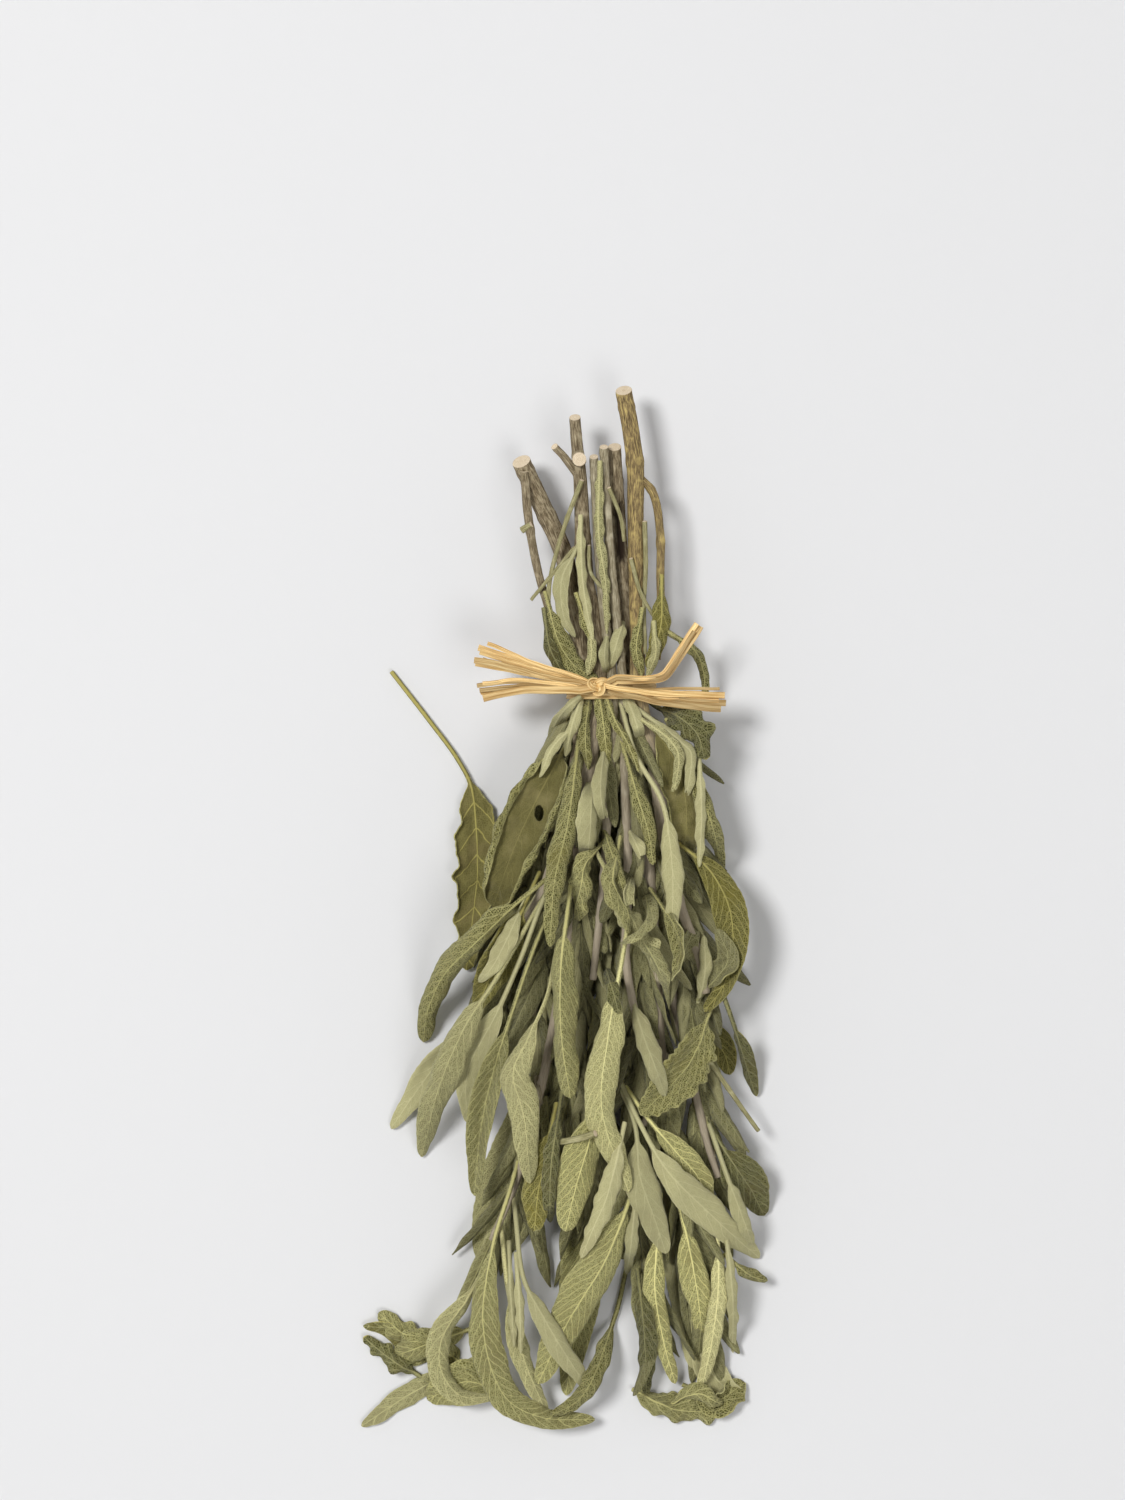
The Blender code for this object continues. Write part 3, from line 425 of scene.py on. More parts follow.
# %% From grids to a finished piece
def leaf_surface(leaf, level, number):
    """Points, faces and skins of a leaf, with the numbers its skins need at every point."""
    upper, lower, share, v, along, across = leaf_grid(leaf, level, number)
    keep = kept_cells(leaf, share, v, upper, lower, number)
    points, faces, skins, source = closed_sheet(upper, lower, keep)
    tone = leaf["tone"] * (1 + 0.3 * sway(leaf, [0.0], 1, number)[0])
    values = {"share": np.repeat(share, len(v))[source], "edge": np.tile(np.abs(v), len(share))[source],
              "tone": np.full(len(source), tone)}
    uv = np.column_stack([along.ravel(), across.ravel()])[source]
    pile.cover(upper.reshape(-1, 3))
    return points, faces, skins, values, uv


def finish_piece(name, mesh, slot):
    """The mesh as a piece that rides on the bunch's one body; slot is not used."""
    piece = put_in_scene(name, mesh)
    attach(piece, "root")
    return piece


def make_leaves(name, look, surfaces):
    """One piece from one or more leaf surfaces that share a look."""
    starts = np.cumsum([0] + [len(surface[0]) for surface in surfaces])
    points, uv = np.vstack([s[0] for s in surfaces]), np.vstack([s[4] for s in surfaces])
    faces = np.vstack([s[1] + start for s, start in zip(surfaces, starts)])
    skins = np.concatenate([s[2] for s in surfaces])
    values = {key: np.concatenate([s[3][key] for s in surfaces]) for key in surfaces[0][3]}
    slot, materials = LOOKS[look]
    return finish_piece(name, leaf_mesh(name, points, faces, materials, skins, values, uv), slot)


print("Leaves carry their share, edge and tone, and a map in millimetres")

# %% [markdown]
# ## The felted skins
# Under a lens the blade is a net: pale felted veins round small darker cushions. The pattern runs
# along the leaf, so it reads the leaf's own map, which is in millimetres along and across the
# blade. A node group makes the net once, for all the leaf materials: a midrib, side veins that
# lean towards the tip, a coarse net and a fine net of Voronoi cell borders. The materials differ
# only in their colours and in how strongly the net shows.

# %% Helpers that add a node and fill its sockets
def feed(socket, value):
    """Link a node's output to the socket, or set the socket to a plain value."""
    if isinstance(value, Value):
        value = value.socket
    if isinstance(value, bpy.types.NodeSocket):
        socket.id_data.links.new(value, socket)
    else:
        socket.default_value = value


def add_node(tree, kind, sockets=None, **settings):
    """A node with its settings; sockets gives a value for each socket's name or number."""
    node = tree.nodes.new(kind)
    for key, value in settings.items():
        setattr(node, key, value)
    for key, value in (sockets or {}).items():
        feed(node.inputs[key], value)
    return node


def result(tree, kind, sockets=None, output=0, **settings):
    """One output of a new node, ready to calculate with."""
    return Value(add_node(tree, kind, sockets, **settings).outputs[output])


class Value:
    """A node's output that can be added, multiplied and so on: each step adds a math node."""

    def __init__(self, socket):
        self.socket, self.tree = socket, socket.id_data
        self.is_vector = socket.type in ("VECTOR", "RGBA")

    def __add__(self, other):
        return calc("ADD", self, other)

    def __sub__(self, other):
        return calc("SUBTRACT", self, other)

    def __rsub__(self, other):
        return calc("SUBTRACT", other, self)

    def __mul__(self, other):
        if self.is_vector and not isinstance(other, tuple):
            sockets = {0: self, "Scale": other}
            return result(self.tree, "ShaderNodeVectorMath", sockets, operation="SCALE")
        return calc("MULTIPLY", self, other)

    def __truediv__(self, other):
        return calc("DIVIDE", self, other)

    def __pow__(self, other):
        return calc("POWER", self, other)

    def __mod__(self, other):
        return calc("MODULO", self, other)

    def __abs__(self):
        return calc("ABSOLUTE", self)


def calc(operation, *values):
    """One math node on Values and plain numbers, or a vector math node where one is a vector."""
    known = [value for value in values if isinstance(value, Value)]
    kind = "ShaderNodeVectorMath" if any(value.is_vector for value in known) else "ShaderNodeMath"
    return result(known[0].tree, kind, dict(enumerate(values)), operation=operation)


print("Node helpers:", ", ".join(f.__name__ for f in (feed, add_node, result, calc)))

# %% [markdown]
# A few patterns come back in every material and every tree: a soft step, a straight ramp, noise, a
# mix of two colours, and a vector taken apart or put together. Each gets a name of its own, so that
# the materials below read like recipes.

# %% Steps, ramps, noise and mixed colours
def fade(value, start, end):
    """1 at start, smoothly down to 0 at end."""
    sockets = {"Value": value, "From Min": start, "From Max": end, "To Min": 1.0, "To Max": 0.0}
    return result(value.tree, "ShaderNodeMapRange", sockets, "Result", interpolation_type="SMOOTHSTEP")


def ramp(value, low, high, top=1.0):
    """0 up to low, then straight up to the top at high."""
    sockets = {"Value": value, "From Min": low, "From Max": high, "To Max": top}
    return result(value.tree, "ShaderNodeMapRange", sockets, "Result")


def noise_at(place, scale, detail, roughness=0.5, output="Fac"):
    sockets = {"Vector": place, "Scale": scale, "Detail": detail, "Roughness": roughness}
    return result(place.tree, "ShaderNodeTexNoise", sockets, output)


def combine(x, y=0.0, z=0.0):
    tree = next(value.tree for value in (x, y, z) if isinstance(value, Value))
    return result(tree, "ShaderNodeCombineXYZ", {0: x, 1: y, 2: z})


def separate(vector):
    return [Value(out) for out in add_node(vector.tree, "ShaderNodeSeparateXYZ", {0: vector}).outputs]


def mix_colour(share, first, second):
    """The first colour where the share is 0, the second where it is 1."""
    mixer = add_node(share.tree, "ShaderNodeMix", data_type="RGBA")
    wanted = {"Factor": share, "A": first, "B": second}
    for socket in mixer.inputs:
        if socket.enabled and socket.name in wanted:
            value = wanted[socket.name]
            feed(socket, (*value, 1) if isinstance(value, tuple) else value)
    return Value(next(out for out in mixer.outputs if out.enabled))


print("A fade runs from 1 to 0, and a ramp from 0 up")

# %% [markdown]
# Every tree and node group starts with named inputs, so that its sizes can be told apart, and every
# material ends in the same way: its colour and its bump go to the shader.

# %% The start of a tree and the end of a material
def new_tree(name, kind, inputs, outputs):
    """A node tree, its inputs as Values and its output sockets; inputs are (name, kind, default)."""
    tree = bpy.data.node_groups.new(name, kind)
    for label, sort, default in inputs:
        socket = tree.interface.new_socket(label, in_out="INPUT", socket_type="NodeSocket" + sort)
        if default is not None:
            socket.default_value = default
    for label, sort in outputs:
        tree.interface.new_socket(label, in_out="OUTPUT", socket_type="NodeSocket" + sort)
    given = {socket.name: Value(socket) for socket in tree.nodes.new("NodeGroupInput").outputs
             if socket.name}
    return tree, given, tree.nodes.new("NodeGroupOutput").inputs


def attribute(tree, name):
    """A number that the mesh carries, for a material to read."""
    return result(tree, "ShaderNodeAttribute", output="Fac", attribute_name=name)


def object_place(tree):
    return result(tree, "ShaderNodeTexCoord", output="Object")


def dress_shader(shader, colour, height=None, depth=0.0, strength=1.0):
    """Give the shader its colour, and a bump of some millimetres from the height."""
    feed(shader.inputs["Base Color"], colour)
    if height:
        bump = {"Strength": strength, "Distance": depth * MM, "Height": height}
        feed(shader.inputs["Normal"], result(shader.id_data, "ShaderNodeBump", bump))


print("Tree and material helpers are ready")

# %% [markdown]
# The vein net is one node group with three sizes as inputs. The midrib is a distance from the middle
# of the leaf and the side veins are a repeated slanting line; noise bends both a little. Two cell
# patterns make the coarse and the fine net. A painted picture would need one file for each leaf.

# %% The vein net as a node group
def cell_border(place, scale, randomness=1.0):
    """The distance to the nearest border between cells."""
    sockets = {"Vector": place, "Scale": scale, "Randomness": randomness}
    return result(place.tree, "ShaderNodeTexVoronoi", sockets, "Distance",
                  voronoi_dimensions="2D", feature="DISTANCE_TO_EDGE")


def make_vein_net():
    sizes = [("Cell size", "Float", 0.8), ("Vein pitch", "Float", 4.0), ("Vein lean", "Float", 1.6)]
    outputs = [(name, "Float") for name in ("Net", "Veins", "Height", "Patches")]
    tree, given, made = new_tree("vein net", "ShaderNodeTree", sizes, outputs)
    place = result(tree, "ShaderNodeUVMap", output="UV", uv_map="leaf_mm")
    bent = (noise_at(place, 0.33, 2.0, output="Color") - (0.5, 0.5, 0.5)) * (1.6, 1.6, 0) + place
    along, across, _ = separate(bent)
    rib_width = attribute(tree, "share") * -0.26 + 0.36
    rib = fade(abs(separate(place)[1]) / rib_width, 0.6, 1.3)
    count = (along - abs(across) ** 1.12 * given["Vein lean"]) / given["Vein pitch"]
    side_vein = fade(calc("PINGPONG", count, 0.5) * given["Vein pitch"], 0.13, 0.36)
    scale = calc("DIVIDE", 1.0, given["Cell size"])
    fine = fade(cell_border(place, scale, 0.9), 0.04, 0.24)
    coarse = fade(cell_border(bent, scale * 0.36), 0.02, 0.10)
    net = calc("MAXIMUM", fine * 0.92, coarse * 0.8)
    veins = calc("MAXIMUM", rib, side_vein)
    height = noise_at(place, 0.42, 2.5) * 3.0 + calc("MAXIMUM", net * 0.6, veins)
    patches = noise_at(object_place(tree), 95.0, 4.0, 0.6)
    for socket, value in zip(made, (net, veins, height, patches)):
        feed(socket, value)
    return tree


vein_net = make_vein_net()
print("Vein net:", len(vein_net.nodes), "nodes")

# %% [markdown]
# The upper skin of a green leaf is grey-green with olive cushions, the under skin is paler, and
# the youngest leaves are almost white with felt. The felt scatters light at glancing angles, so
# every skin has a sheen, and the margin is painted paler as well: a painted highlight where the
# felt catches the light. Larger patches of noise turn parts of a leaf brown or yellow, and each
# leaf carries a number, its tone, that makes it lighter or darker than its neighbours: partly at
# random, and partly as painted shade on the leaves inside the bunch and painted light on some
# front leaves.

# %% How a leaf skin is made
def leaf_skin(name, cushion, net, vein, patch, cell=0.6, pitch=4.0, lean=1.6, raised=0.32, felt=0.12,
              show=1.0, ribs=0.5):
    """A skin from the colours of its cushions, net, veins and brown patches.

    cell and pitch are the sizes of a cushion and from one side vein to the next, raised is the depth
    of the bump in millimetres, show and ribs are how strongly the net and the veins show.
    """
    material, shader = plain_material(name, net, 0.86, Specular_IOR_Level=0.22, Sheen_Weight=felt,
                                      Sheen_Roughness=0.45)
    tree = material.node_tree
    sizes = {"Cell size": cell, "Vein pitch": pitch, "Vein lean": lean}
    marks = {out.name: Value(out)
             for out in add_node(tree, "ShaderNodeGroup", sizes, node_tree=vein_net).outputs}
    colour = mix_colour(marks["Net"] * show, cushion, net)
    colour = mix_colour(ramp(marks["Patches"], 0.5, 0.72, 0.75), colour, patch)
    colour = mix_colour(marks["Veins"] * ribs, colour, vein)
    # The margin is mixed towards the vein colour: a painted highlight where the felt at the margin
    # catches light.
    colour = mix_colour(ramp(attribute(tree, "edge"), 0.9, 1.0, 0.55), colour, vein)
    dress_shader(shader, colour * attribute(tree, "tone"), marks["Height"], raised)
    return material


print("A leaf skin has", len(vein_net.interface.items_tree) - 4, "sizes for its net")

# %% [markdown]
# Ten skins are enough. A look is a pair of them, for the face and for the back of a leaf, and the
# name of a slot, which is handed on to the piece but not used.

# %% The ten leaf skins and the looks
pebbled = leaf_skin("green pebbled skin", (0.068, 0.064, 0.012), (0.45, 0.42, 0.167),
                    (0.57, 0.53, 0.22), (0.20, 0.175, 0.044))
cup_olive = leaf_skin("smooth cupped skin", (0.15, 0.132, 0.040), (0.225, 0.200, 0.070),
                      (0.33, 0.29, 0.10), (0.29, 0.25, 0.105), pitch=9.0, raised=0.2, show=0.7,
                      ribs=0.3)
smooth_olive = leaf_skin("smooth olive skin", (0.145, 0.128, 0.036), (0.235, 0.210, 0.072),
                         (0.50, 0.44, 0.13), (0.23, 0.19, 0.075), cell=0.66, pitch=8.0, lean=0.95,
                         raised=0.1, ribs=0.75)
light_green = leaf_skin("light green skin", (0.150, 0.141, 0.039), (0.51, 0.48, 0.207),
                        (0.59, 0.55, 0.229), (0.24, 0.215, 0.079), cell=0.56, ribs=0.85)
light_back = leaf_skin("light green under skin", (0.20, 0.186, 0.069), (0.46, 0.435, 0.207),
                       (0.56, 0.53, 0.246), (0.30, 0.275, 0.123), ribs=0.6)
pale_net = leaf_skin("pale net skin", (0.18, 0.168, 0.063), (0.53, 0.50, 0.251), (0.62, 0.58, 0.282),
                     (0.32, 0.295, 0.141), cell=0.55, pitch=5.0, raised=0.12, ribs=0.55)
pale_face = leaf_skin("pale felt", (0.39, 0.365, 0.18), (0.56, 0.53, 0.29), (0.66, 0.625, 0.352),
                      (0.36, 0.33, 0.167), pitch=6.5, lean=2.0, raised=0.07, felt=0.15, show=0.55,
                      ribs=0.4)
pale_back = leaf_skin("pale under felt", (0.30, 0.28, 0.128), (0.50, 0.47, 0.246), (0.60, 0.56, 0.299),
                      (0.30, 0.27, 0.132), pitch=5.0, raised=0.1, show=0.75, ribs=0.35)
yellow_face = leaf_skin("yellow green skin", (0.080, 0.072, 0.010), (0.31, 0.280, 0.085),
                        (0.44, 0.39, 0.12), (0.21, 0.18, 0.028), ribs=0.8)
dark_face = leaf_skin("dark olive skin", (0.040, 0.039, 0.008), (0.225, 0.215, 0.085),
                      (0.35, 0.33, 0.15), (0.12, 0.10, 0.028))
LOOKS = {
    "pebbled": ("green_leaf", (pebbled, light_back)),
    "cupped": ("green_leaf", (cup_olive, pebbled)),
    "smooth": ("green_leaf", (smooth_olive, pebbled)),
    "light": ("green_leaf", (light_green, light_back)),
    "under": ("green_leaf", (light_back, light_green)),
    "pale net": ("pale_leaf", (pale_net, pale_back)),
    "pale": ("pale_leaf", (pale_face, pale_back)),
    "yellow": ("yellow_leaf", (yellow_face, light_back)),
    "dark": ("dark_leaf", (dark_face, smooth_olive)),
}
print("Leaf skins:", len(bpy.data.materials) - 1, "and looks:", len(LOOKS))

# %% [markdown]
# ## What already lies there
# Later leaves lie on earlier ones. The pile keeps the height of everything made so far on a half
# millimetre grid, like a cloth laid over the bunch, and a new leaf is dropped onto it.

# %% The pile, as a grid of heights
class Pile:
    LOW = np.array([-80.0, -175.0])
    CELL = 0.5
    SHAPE = (320, 700)

    def __init__(self):
        self.top = np.zeros(self.SHAPE)

    def cells(self, xy):
        found = np.floor((np.asarray(xy) - self.LOW) / self.CELL).astype(int)
        return np.clip(found[:, 0], 1, self.SHAPE[0] - 2), np.clip(found[:, 1], 1, self.SHAPE[1] - 2)

    def height(self, xy):
        return self.top[self.cells(xy)]

    def cover(self, points):
        """Raise the grid to the points, each of which covers its cell and the eight around it."""
        i, j = self.cells(points[:, :2])
        for di in (-1, 0, 1):
            for dj in (-1, 0, 1):
                np.maximum.at(self.top, (i + di, j + dj), points[:, 2])


pile = Pile()
print("Pile grid:", pile.top.shape)

# %% [markdown]
# ## The leaves of the frame
# Each leaf of the frame is a line, a width and a few numbers that say how it dried. They are plain
# values in one row a leaf, which is easier to compare and to correct than sixty sculpted meshes.

# %% A leaf and its numbers
LEAF_NUMBERS = dict(
    stalk=0.18, fold=0, curl=-50, twist=(0, 0), hem=-55, hem_from=0.72, ripple=0.28, wave=19.0,
    crumple=0.42, quilt=0.1, rib=0.25, pitch=4.0, lean=1.6, tone=1.0, holes=(), broken=0,
    taper=0.85, teeth=0.03, sway=45.0, sunk=8.0, foot=7.0, root=None)


def leaf(name, route, width, look, **numbers):
    """Angles are degrees: sides go up where they are positive. Lengths are millimetres.

    stalk is the stalk's share of the length, fold and curl bend the blade at its midrib and all
    over, hem rolls the margin from the share hem_from on, ripple and wave are the height and length
    of its waves, crumple and quilt are the depths of the wrinkles and of the furrows at the veins,
    rib is the height of the midrib, pitch and lean place the side veins, holes are (x, y, half
    width, half height), broken is the share that is missing at the tip. taper is small for a blunt
    leaf, teeth is the depth of the notches in its margin as a share of its width, sway is how far
    it leans to one side, foot and sunk are how far its stalk goes on and down into the bunch, and
    root is the place where it ends.
    """
    return {**LEAF_NUMBERS, "name": name, "route": route, "width": width, "look": look, **numbers}


print("A leaf has", len(leaf("example", [(0, 0), (9, 0)], 9, "pale")), "numbers")

# %% [markdown]
# How high a leaf lies over the table was settled in the CAD model, where each came to rest on those
# beneath, so the height is read back from its CAD node: the middle of each cross-section is a pair
# of corners, above and below the middle line. The stalk then goes on down into the bunch, where
# the CAD leaf simply ends, and the detailed leaf stands for the node.

# %% Dress the leaves of the frame
def ring_heights(leaf):
    """Height of the middle line at each of the CAD leaf's cross-sections."""
    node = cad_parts[leaf["name"]]
    corners = np.array([vertex.co[:] for vertex in node.data.vertices]) / MM
    path = smooth_route(leaf["route"], RINGS)
    sideways = across_direction(path)
    heights = []
    for i in range(RINGS):
        twist = leaf["twist"][0] + (leaf["twist"][1] - leaf["twist"][0]) * i / (RINGS - 1)
        out = math.sin(math.radians(twist)) * CAD_THICKNESS / 2
        pair = []
        for sign, pick in ((1, np.max), (-1, np.min)):
            spot = path[i, :2] - sign * out * sideways[i]
            near = np.linalg.norm(corners[:, :2] - spot, axis=1) < 0.02
            pair.append(pick(corners[near, 2]))
        heights.append(sum(pair) / 2)
    return np.array(heights)


def with_buried_foot(item, level):
    """The same leaf with its stalk carried on, down into the bunch, by the length of its foot."""
    if not item["foot"]:
        return item, level
    route = np.array(item["route"], float)
    back = (route[0] - route[1]) / np.linalg.norm(route[0] - route[1]) * item["foot"]
    if item["root"]:
        back = np.array(item["root"]) - route[0]
    foot, whole = np.linalg.norm(back), route_length(route)
    longer = whole + foot
    along = np.linspace(0, longer, 2 * RINGS - 1) - foot
    level = np.interp(np.maximum(along, 0), np.linspace(0, whole, RINGS), level)
    level = level - item["sunk"] * np.clip((6 - along) / (6 + foot), 0, 1) ** 1.3
    stalk = (item["stalk"] * whole + foot) / longer
    route = np.vstack([route[0] + back, route])
    return dict(item, route=[tuple(p) for p in route], stalk=stalk), np.maximum(level, 1.0)


def dress_leaves(leaves):
    """Make the detailed leaf for each CAD leaf and let it stand for the CAD node."""
    for item in leaves:
        longer, level = with_buried_foot(item, ring_heights(item))
        surface = leaf_surface(longer, level, len(bpy.data.meshes))
        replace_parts(make_leaves(item["name"] + "_blade", item["look"], [surface]), item["name"])


print("Cross-sections in a CAD leaf:", RINGS)

# %% [markdown]
# The lowest leaves lie flat on the table, under everything else. They are made first, because the
# pile has to know them before anything is laid on top.

# %% The back leaves, which lie on the table
BACK_LEAVES = [
    leaf("back_leaf_left", [(1, 60), (-10, 30), (-19, 2), (-23, -32)], 15, "pale net", curl=40),
    leaf("back_leaf_middle", [(9, 52), (5, 18), (2, -16), (-3, -52)], 15, "pale", curl=40),
    leaf("back_leaf_right", [(20, 54), (29, 24), (35, -6), (36, -40)], 15, "pale", curl=40),
    leaf("back_leaf_low_left", [(-6, -40), (-14, -66), (-22, -92), (-25, -120)], 14, "pale net",
         curl=40),
    leaf("back_leaf_low_middle", [(8, -66), (7, -92), (5, -120), (1, -148)], 14, "light", curl=30),
    leaf("back_leaf_low_right", [(24, -52), (31, -82), (37, -110), (40, -140)], 14, "pale", curl=40),
]

dress_leaves(BACK_LEAVES)
print("Back leaves:", len(BACK_LEAVES))

# %% [markdown]
# ## Stems
# Stems, the leaves along them and the raffia all follow paths, so node trees make them. A few
# helpers keep those trees short: one starts a tree, and others store a value on the geometry and
# read it again, draw random values or set a material.

# %% Helpers for trees of geometry nodes
GEOMETRY = ("Geometry", "Geometry", None)
VECTOR = "FLOAT_VECTOR"


def geometry_tree(name, inputs):
    return new_tree(name, "GeometryNodeTree", [GEOMETRY, *inputs], [GEOMETRY[:2]])


def reading(tree, what, output=0):
    """A value that the geometry has at each point, such as its Position or its Tangent."""
    return result(tree, "GeometryNode" + what, output=output)


def keep_value(geometry, name, value, domain="POINT", kind="FLOAT"):
    """Store a value on the geometry, so that later nodes and the material can read it."""
    sockets = {"Geometry": geometry, "Name": name, "Value": value}
    return result(geometry.tree, "GeometryNodeStoreNamedAttribute", sockets, data_type=kind,
                  domain=domain)


def named_value(tree, name, kind="FLOAT"):
    return result(tree, "GeometryNodeInputNamedAttribute", {"Name": name}, "Attribute", data_type=kind)


def chooser(number, seed):
    """A function that draws a random value for every number; each shift gives another draw."""
    def chance(low, high, shift):
        sockets = {2: low, 3: high, "ID": number, "Seed": seed + float(shift)}
        return result(number.tree, "FunctionNodeRandomValue", sockets, 1, data_type="FLOAT")
    return chance


def set_material(geometry, material, **more):
    sockets = {"Geometry": geometry, "Material": material, **more}
    return result(geometry.tree, "GeometryNodeSetMaterial", sockets)


def made_real(geometry):
    return result(geometry.tree, "GeometryNodeRealizeInstances", {"Geometry": geometry})


print("A stored value is read again by its name, such as along, turn or tone")

# %% [markdown]
# A tree runs as a modifier on a curve. Its result is kept as a plain mesh and the curve with its
# modifier is thrown away. The modifier could be left on and applied later, but then the piece would
# not be a finished mesh when it is tied to its body.

# %% Run a tree and keep its mesh
def path_curve(name, paths):
    """A curve with one line for each path; a path is rows of x, y, z and diameter in millimetres."""
    data = bpy.data.curves.new(name, "CURVE")
    data.dimensions = "3D"
    for path in paths:
        line = data.splines.new("POLY")
        line.points.add(len(path) - 1)
        for point, (x, y, z, wide) in zip(line.points, path):
            point.co = (x * MM, y * MM, z * MM, 1)
            point.radius = wide / 2
    return data


def run_tree(name, data, tree, inputs, values):
    """Evaluate the tree on a curve; values are more inputs, with _ for a space in their names."""
    values = {**inputs, **{key.replace("_", " "): value for key, value in values.items()}}
    source = put_in_scene(name + "_source", data)
    modifier = source.modifiers.new("made by nodes", "NODES")
    modifier.node_group = tree
    for item in tree.interface.items_tree:
        if item.item_type == "SOCKET" and item.in_out == "INPUT" and item.name in values:
            modifier[item.identifier] = values[item.name]
    graph = bpy.context.evaluated_depsgraph_get()
    mesh = bpy.data.meshes.new_from_object(source.evaluated_get(graph), depsgraph=graph)
    bpy.data.objects.remove(source)
    mesh.name = name
    drop_empty_slots(mesh)
    print(name, len(mesh.polygons), "faces")
    return mesh


def drop_empty_slots(mesh):
    """Nodes can leave an empty material slot in front; faces keep their real material."""
    index = np.zeros(len(mesh.polygons), np.int32)
    mesh.polygons.foreach_get("material_index", index)
    real = [i for i, material in enumerate(mesh.materials) if material]
    new = np.array([real.index(i) if i in real else 0 for i in range(len(mesh.materials))])
    materials = [mesh.materials[i] for i in real]
    mesh.materials.clear()
    for material in materials:
        mesh.materials.append(material)
    mesh.polygons.foreach_set("material_index", new[index].astype(np.int32))


print("Paths in millimetres go to the curve in metres, times", MM)

# %% [markdown]
# The stems are woody twigs: ribbed along their length, swollen where a pair of leaves once stood,
# and cut with a knife at a slant. One of them is torn open in a brown hollow. The tree sweeps a
# circle along the path, keeps the distance along and the turn round the stem as attributes, raises
# ribs, fibres and knobs from them, sinks the hollow and shears the cut end. A displacement
# modifier could roughen a tube as well, but it would not know where along the stem it is.

# %% Sweep a tube and raise its bark
CUT_DEPTH = 0.06         # the rings of a cut face lie within this distance of the end


def swept_tube(tree, given):
    """A round tube that keeps the distance along, the turn round it and the line in its middle."""
    along = reading(tree, "SplineParameter", "Length")
    radius = reading(tree, "InputRadius")
    to_end = calc("MINIMUM", along, reading(tree, "SplineLength", "Length") - along)
    curve = keep_value(given["Geometry"], "along", along)
    curve = keep_value(curve, "cut", calc("LESS_THAN", to_end, CUT_DEPTH * MM))
    curve = keep_value(curve, "ring", radius)
    curve = keep_value(curve, "centre", reading(tree, "InputPosition"), kind=VECTOR)
    curve = keep_value(curve, "heading", reading(tree, "InputTangent"), kind=VECTOR)
    circle = result(tree, "GeometryNodeCurvePrimitiveCircle",
                    {"Resolution": given["Sides"], "Radius": MM})
    circle = keep_value(circle, "turn", reading(tree, "SplineParameter", "Factor") * (2 * math.pi))
    sockets = {"Curve": curve, "Profile Curve": circle, "Scale": radius, "Fill Caps": True}
    return result(tree, "GeometryNodeCurveToMesh", sockets)


def bark_grain(given, along, turn):
    """Noise that is drawn out along the stem."""
    place = combine(calc("COSINE", turn) * 1.6, calc("SINE", turn) * 1.6, along * 90.0 + given["Shift"])
    return noise_at(place, 1.6, 3.0)


def bark_relief(given, along, turn, grain):
    """How far the bark stands out: fibres, ribs and the knobs where leaves once stood."""
    fibres = (grain - 0.5) * (given["Fibre depth"] * 2.0)
    ribs = calc("COSINE", turn * given["Ribs"] + along * 18.0) * given["Rib depth"]
    count = along / given["Knob spacing"] + given["Shift"] + calc("SINE", along * 95.0) * 0.3
    off = calc("PINGPONG", count, 0.5) * given["Knob spacing"]
    return fibres + ribs + fade(off, 0.0, 1.9 * MM) * given["Knob height"]


def torn_hollow(given, along, outward, grain):
    """1 in the torn hollow on top of the stem, 0 outside it, with a ragged border."""
    ragged = grain * 1.4 - 0.7
    from_top = calc("SUBTRACT", 1.0, separate(calc("NORMALIZE", outward))[2]) + ragged * 0.4
    from_middle = abs(along - given["Hollow middle"]) / given["Hollow half length"] + ragged * 0.5
    return fade(from_top, 0.30, 0.52) * fade(from_middle, 0.8, 1.0)


print("A cut face lies within", CUT_DEPTH, "mm of the end")

# %% [markdown]
# The tree itself puts these steps in order. A knife cut is slanted, so near the top each point moves
# along the stem by a share of its height over the middle line.

# %% The stem tree
def make_stem_tree():
    tree, given, made = geometry_tree("swept stem", [
        ("Sides", "Int", 16), ("Ribs", "Int", 5), ("Rib depth", "Float", 0.12 * MM),
        ("Fibre depth", "Float", 0.22 * MM), ("Knob spacing", "Float", 17 * MM),
        ("Knob height", "Float", 0.45 * MM), ("Slant", "Float", 0.0), ("Shift", "Float", 0.0),
        ("Hollow middle", "Float", -1.0), ("Hollow half length", "Float", 9.5 * MM),
        ("Hollow depth", "Float", 1.1 * MM), ("Tone", "Float", 1.0), ("Bark", "Material", None),
        ("Cut wood", "Material", None)])
    tube = swept_tube(tree, given)
    along, turn, cut = (named_value(tree, key) for key in ("along", "turn", "cut"))
    grain = bark_grain(given, along, turn)
    outward = reading(tree, "InputPosition") - named_value(tree, "centre", VECTOR)
    hollow = torn_hollow(given, along, outward, grain)
    lift = bark_relief(given, along, turn, grain) - hollow * given["Hollow depth"]
    lift = lift * calc("SUBTRACT", 1.0, cut)
    tube = keep_value(tube, "hollow", hollow)
    offset = reading(tree, "InputNormal") * lift
    raised = result(tree, "GeometryNodeSetPosition", {"Geometry": tube, "Offset": offset})
    shear = separate(outward)[2] * given["Slant"] * fade(along, 0.5 * MM, 5 * MM)
    offset = named_value(tree, "heading", VECTOR) * shear
    sheared = result(tree, "GeometryNodeSetPosition", {"Geometry": raised, "Offset": offset})
    barked = set_material(keep_value(sheared, "tone", given["Tone"]), given["Bark"])
    wooded = set_material(barked, given["Cut wood"], Selection=calc("GREATER_THAN", cut, 0.6))
    feed(made[0], made_real(wooded))
    return tree


stem_tree = make_stem_tree()
print("Stem tree:", len(stem_tree.nodes), "nodes")

# %% [markdown]
# Bark is grey-brown with paler and darker fibres along the stem, and young shoots are still pale
# and felted. The cut shows pale wood with faint rings. The materials read the attributes of the
# sweep, so the fibres follow every bend, which a pattern in space would not.

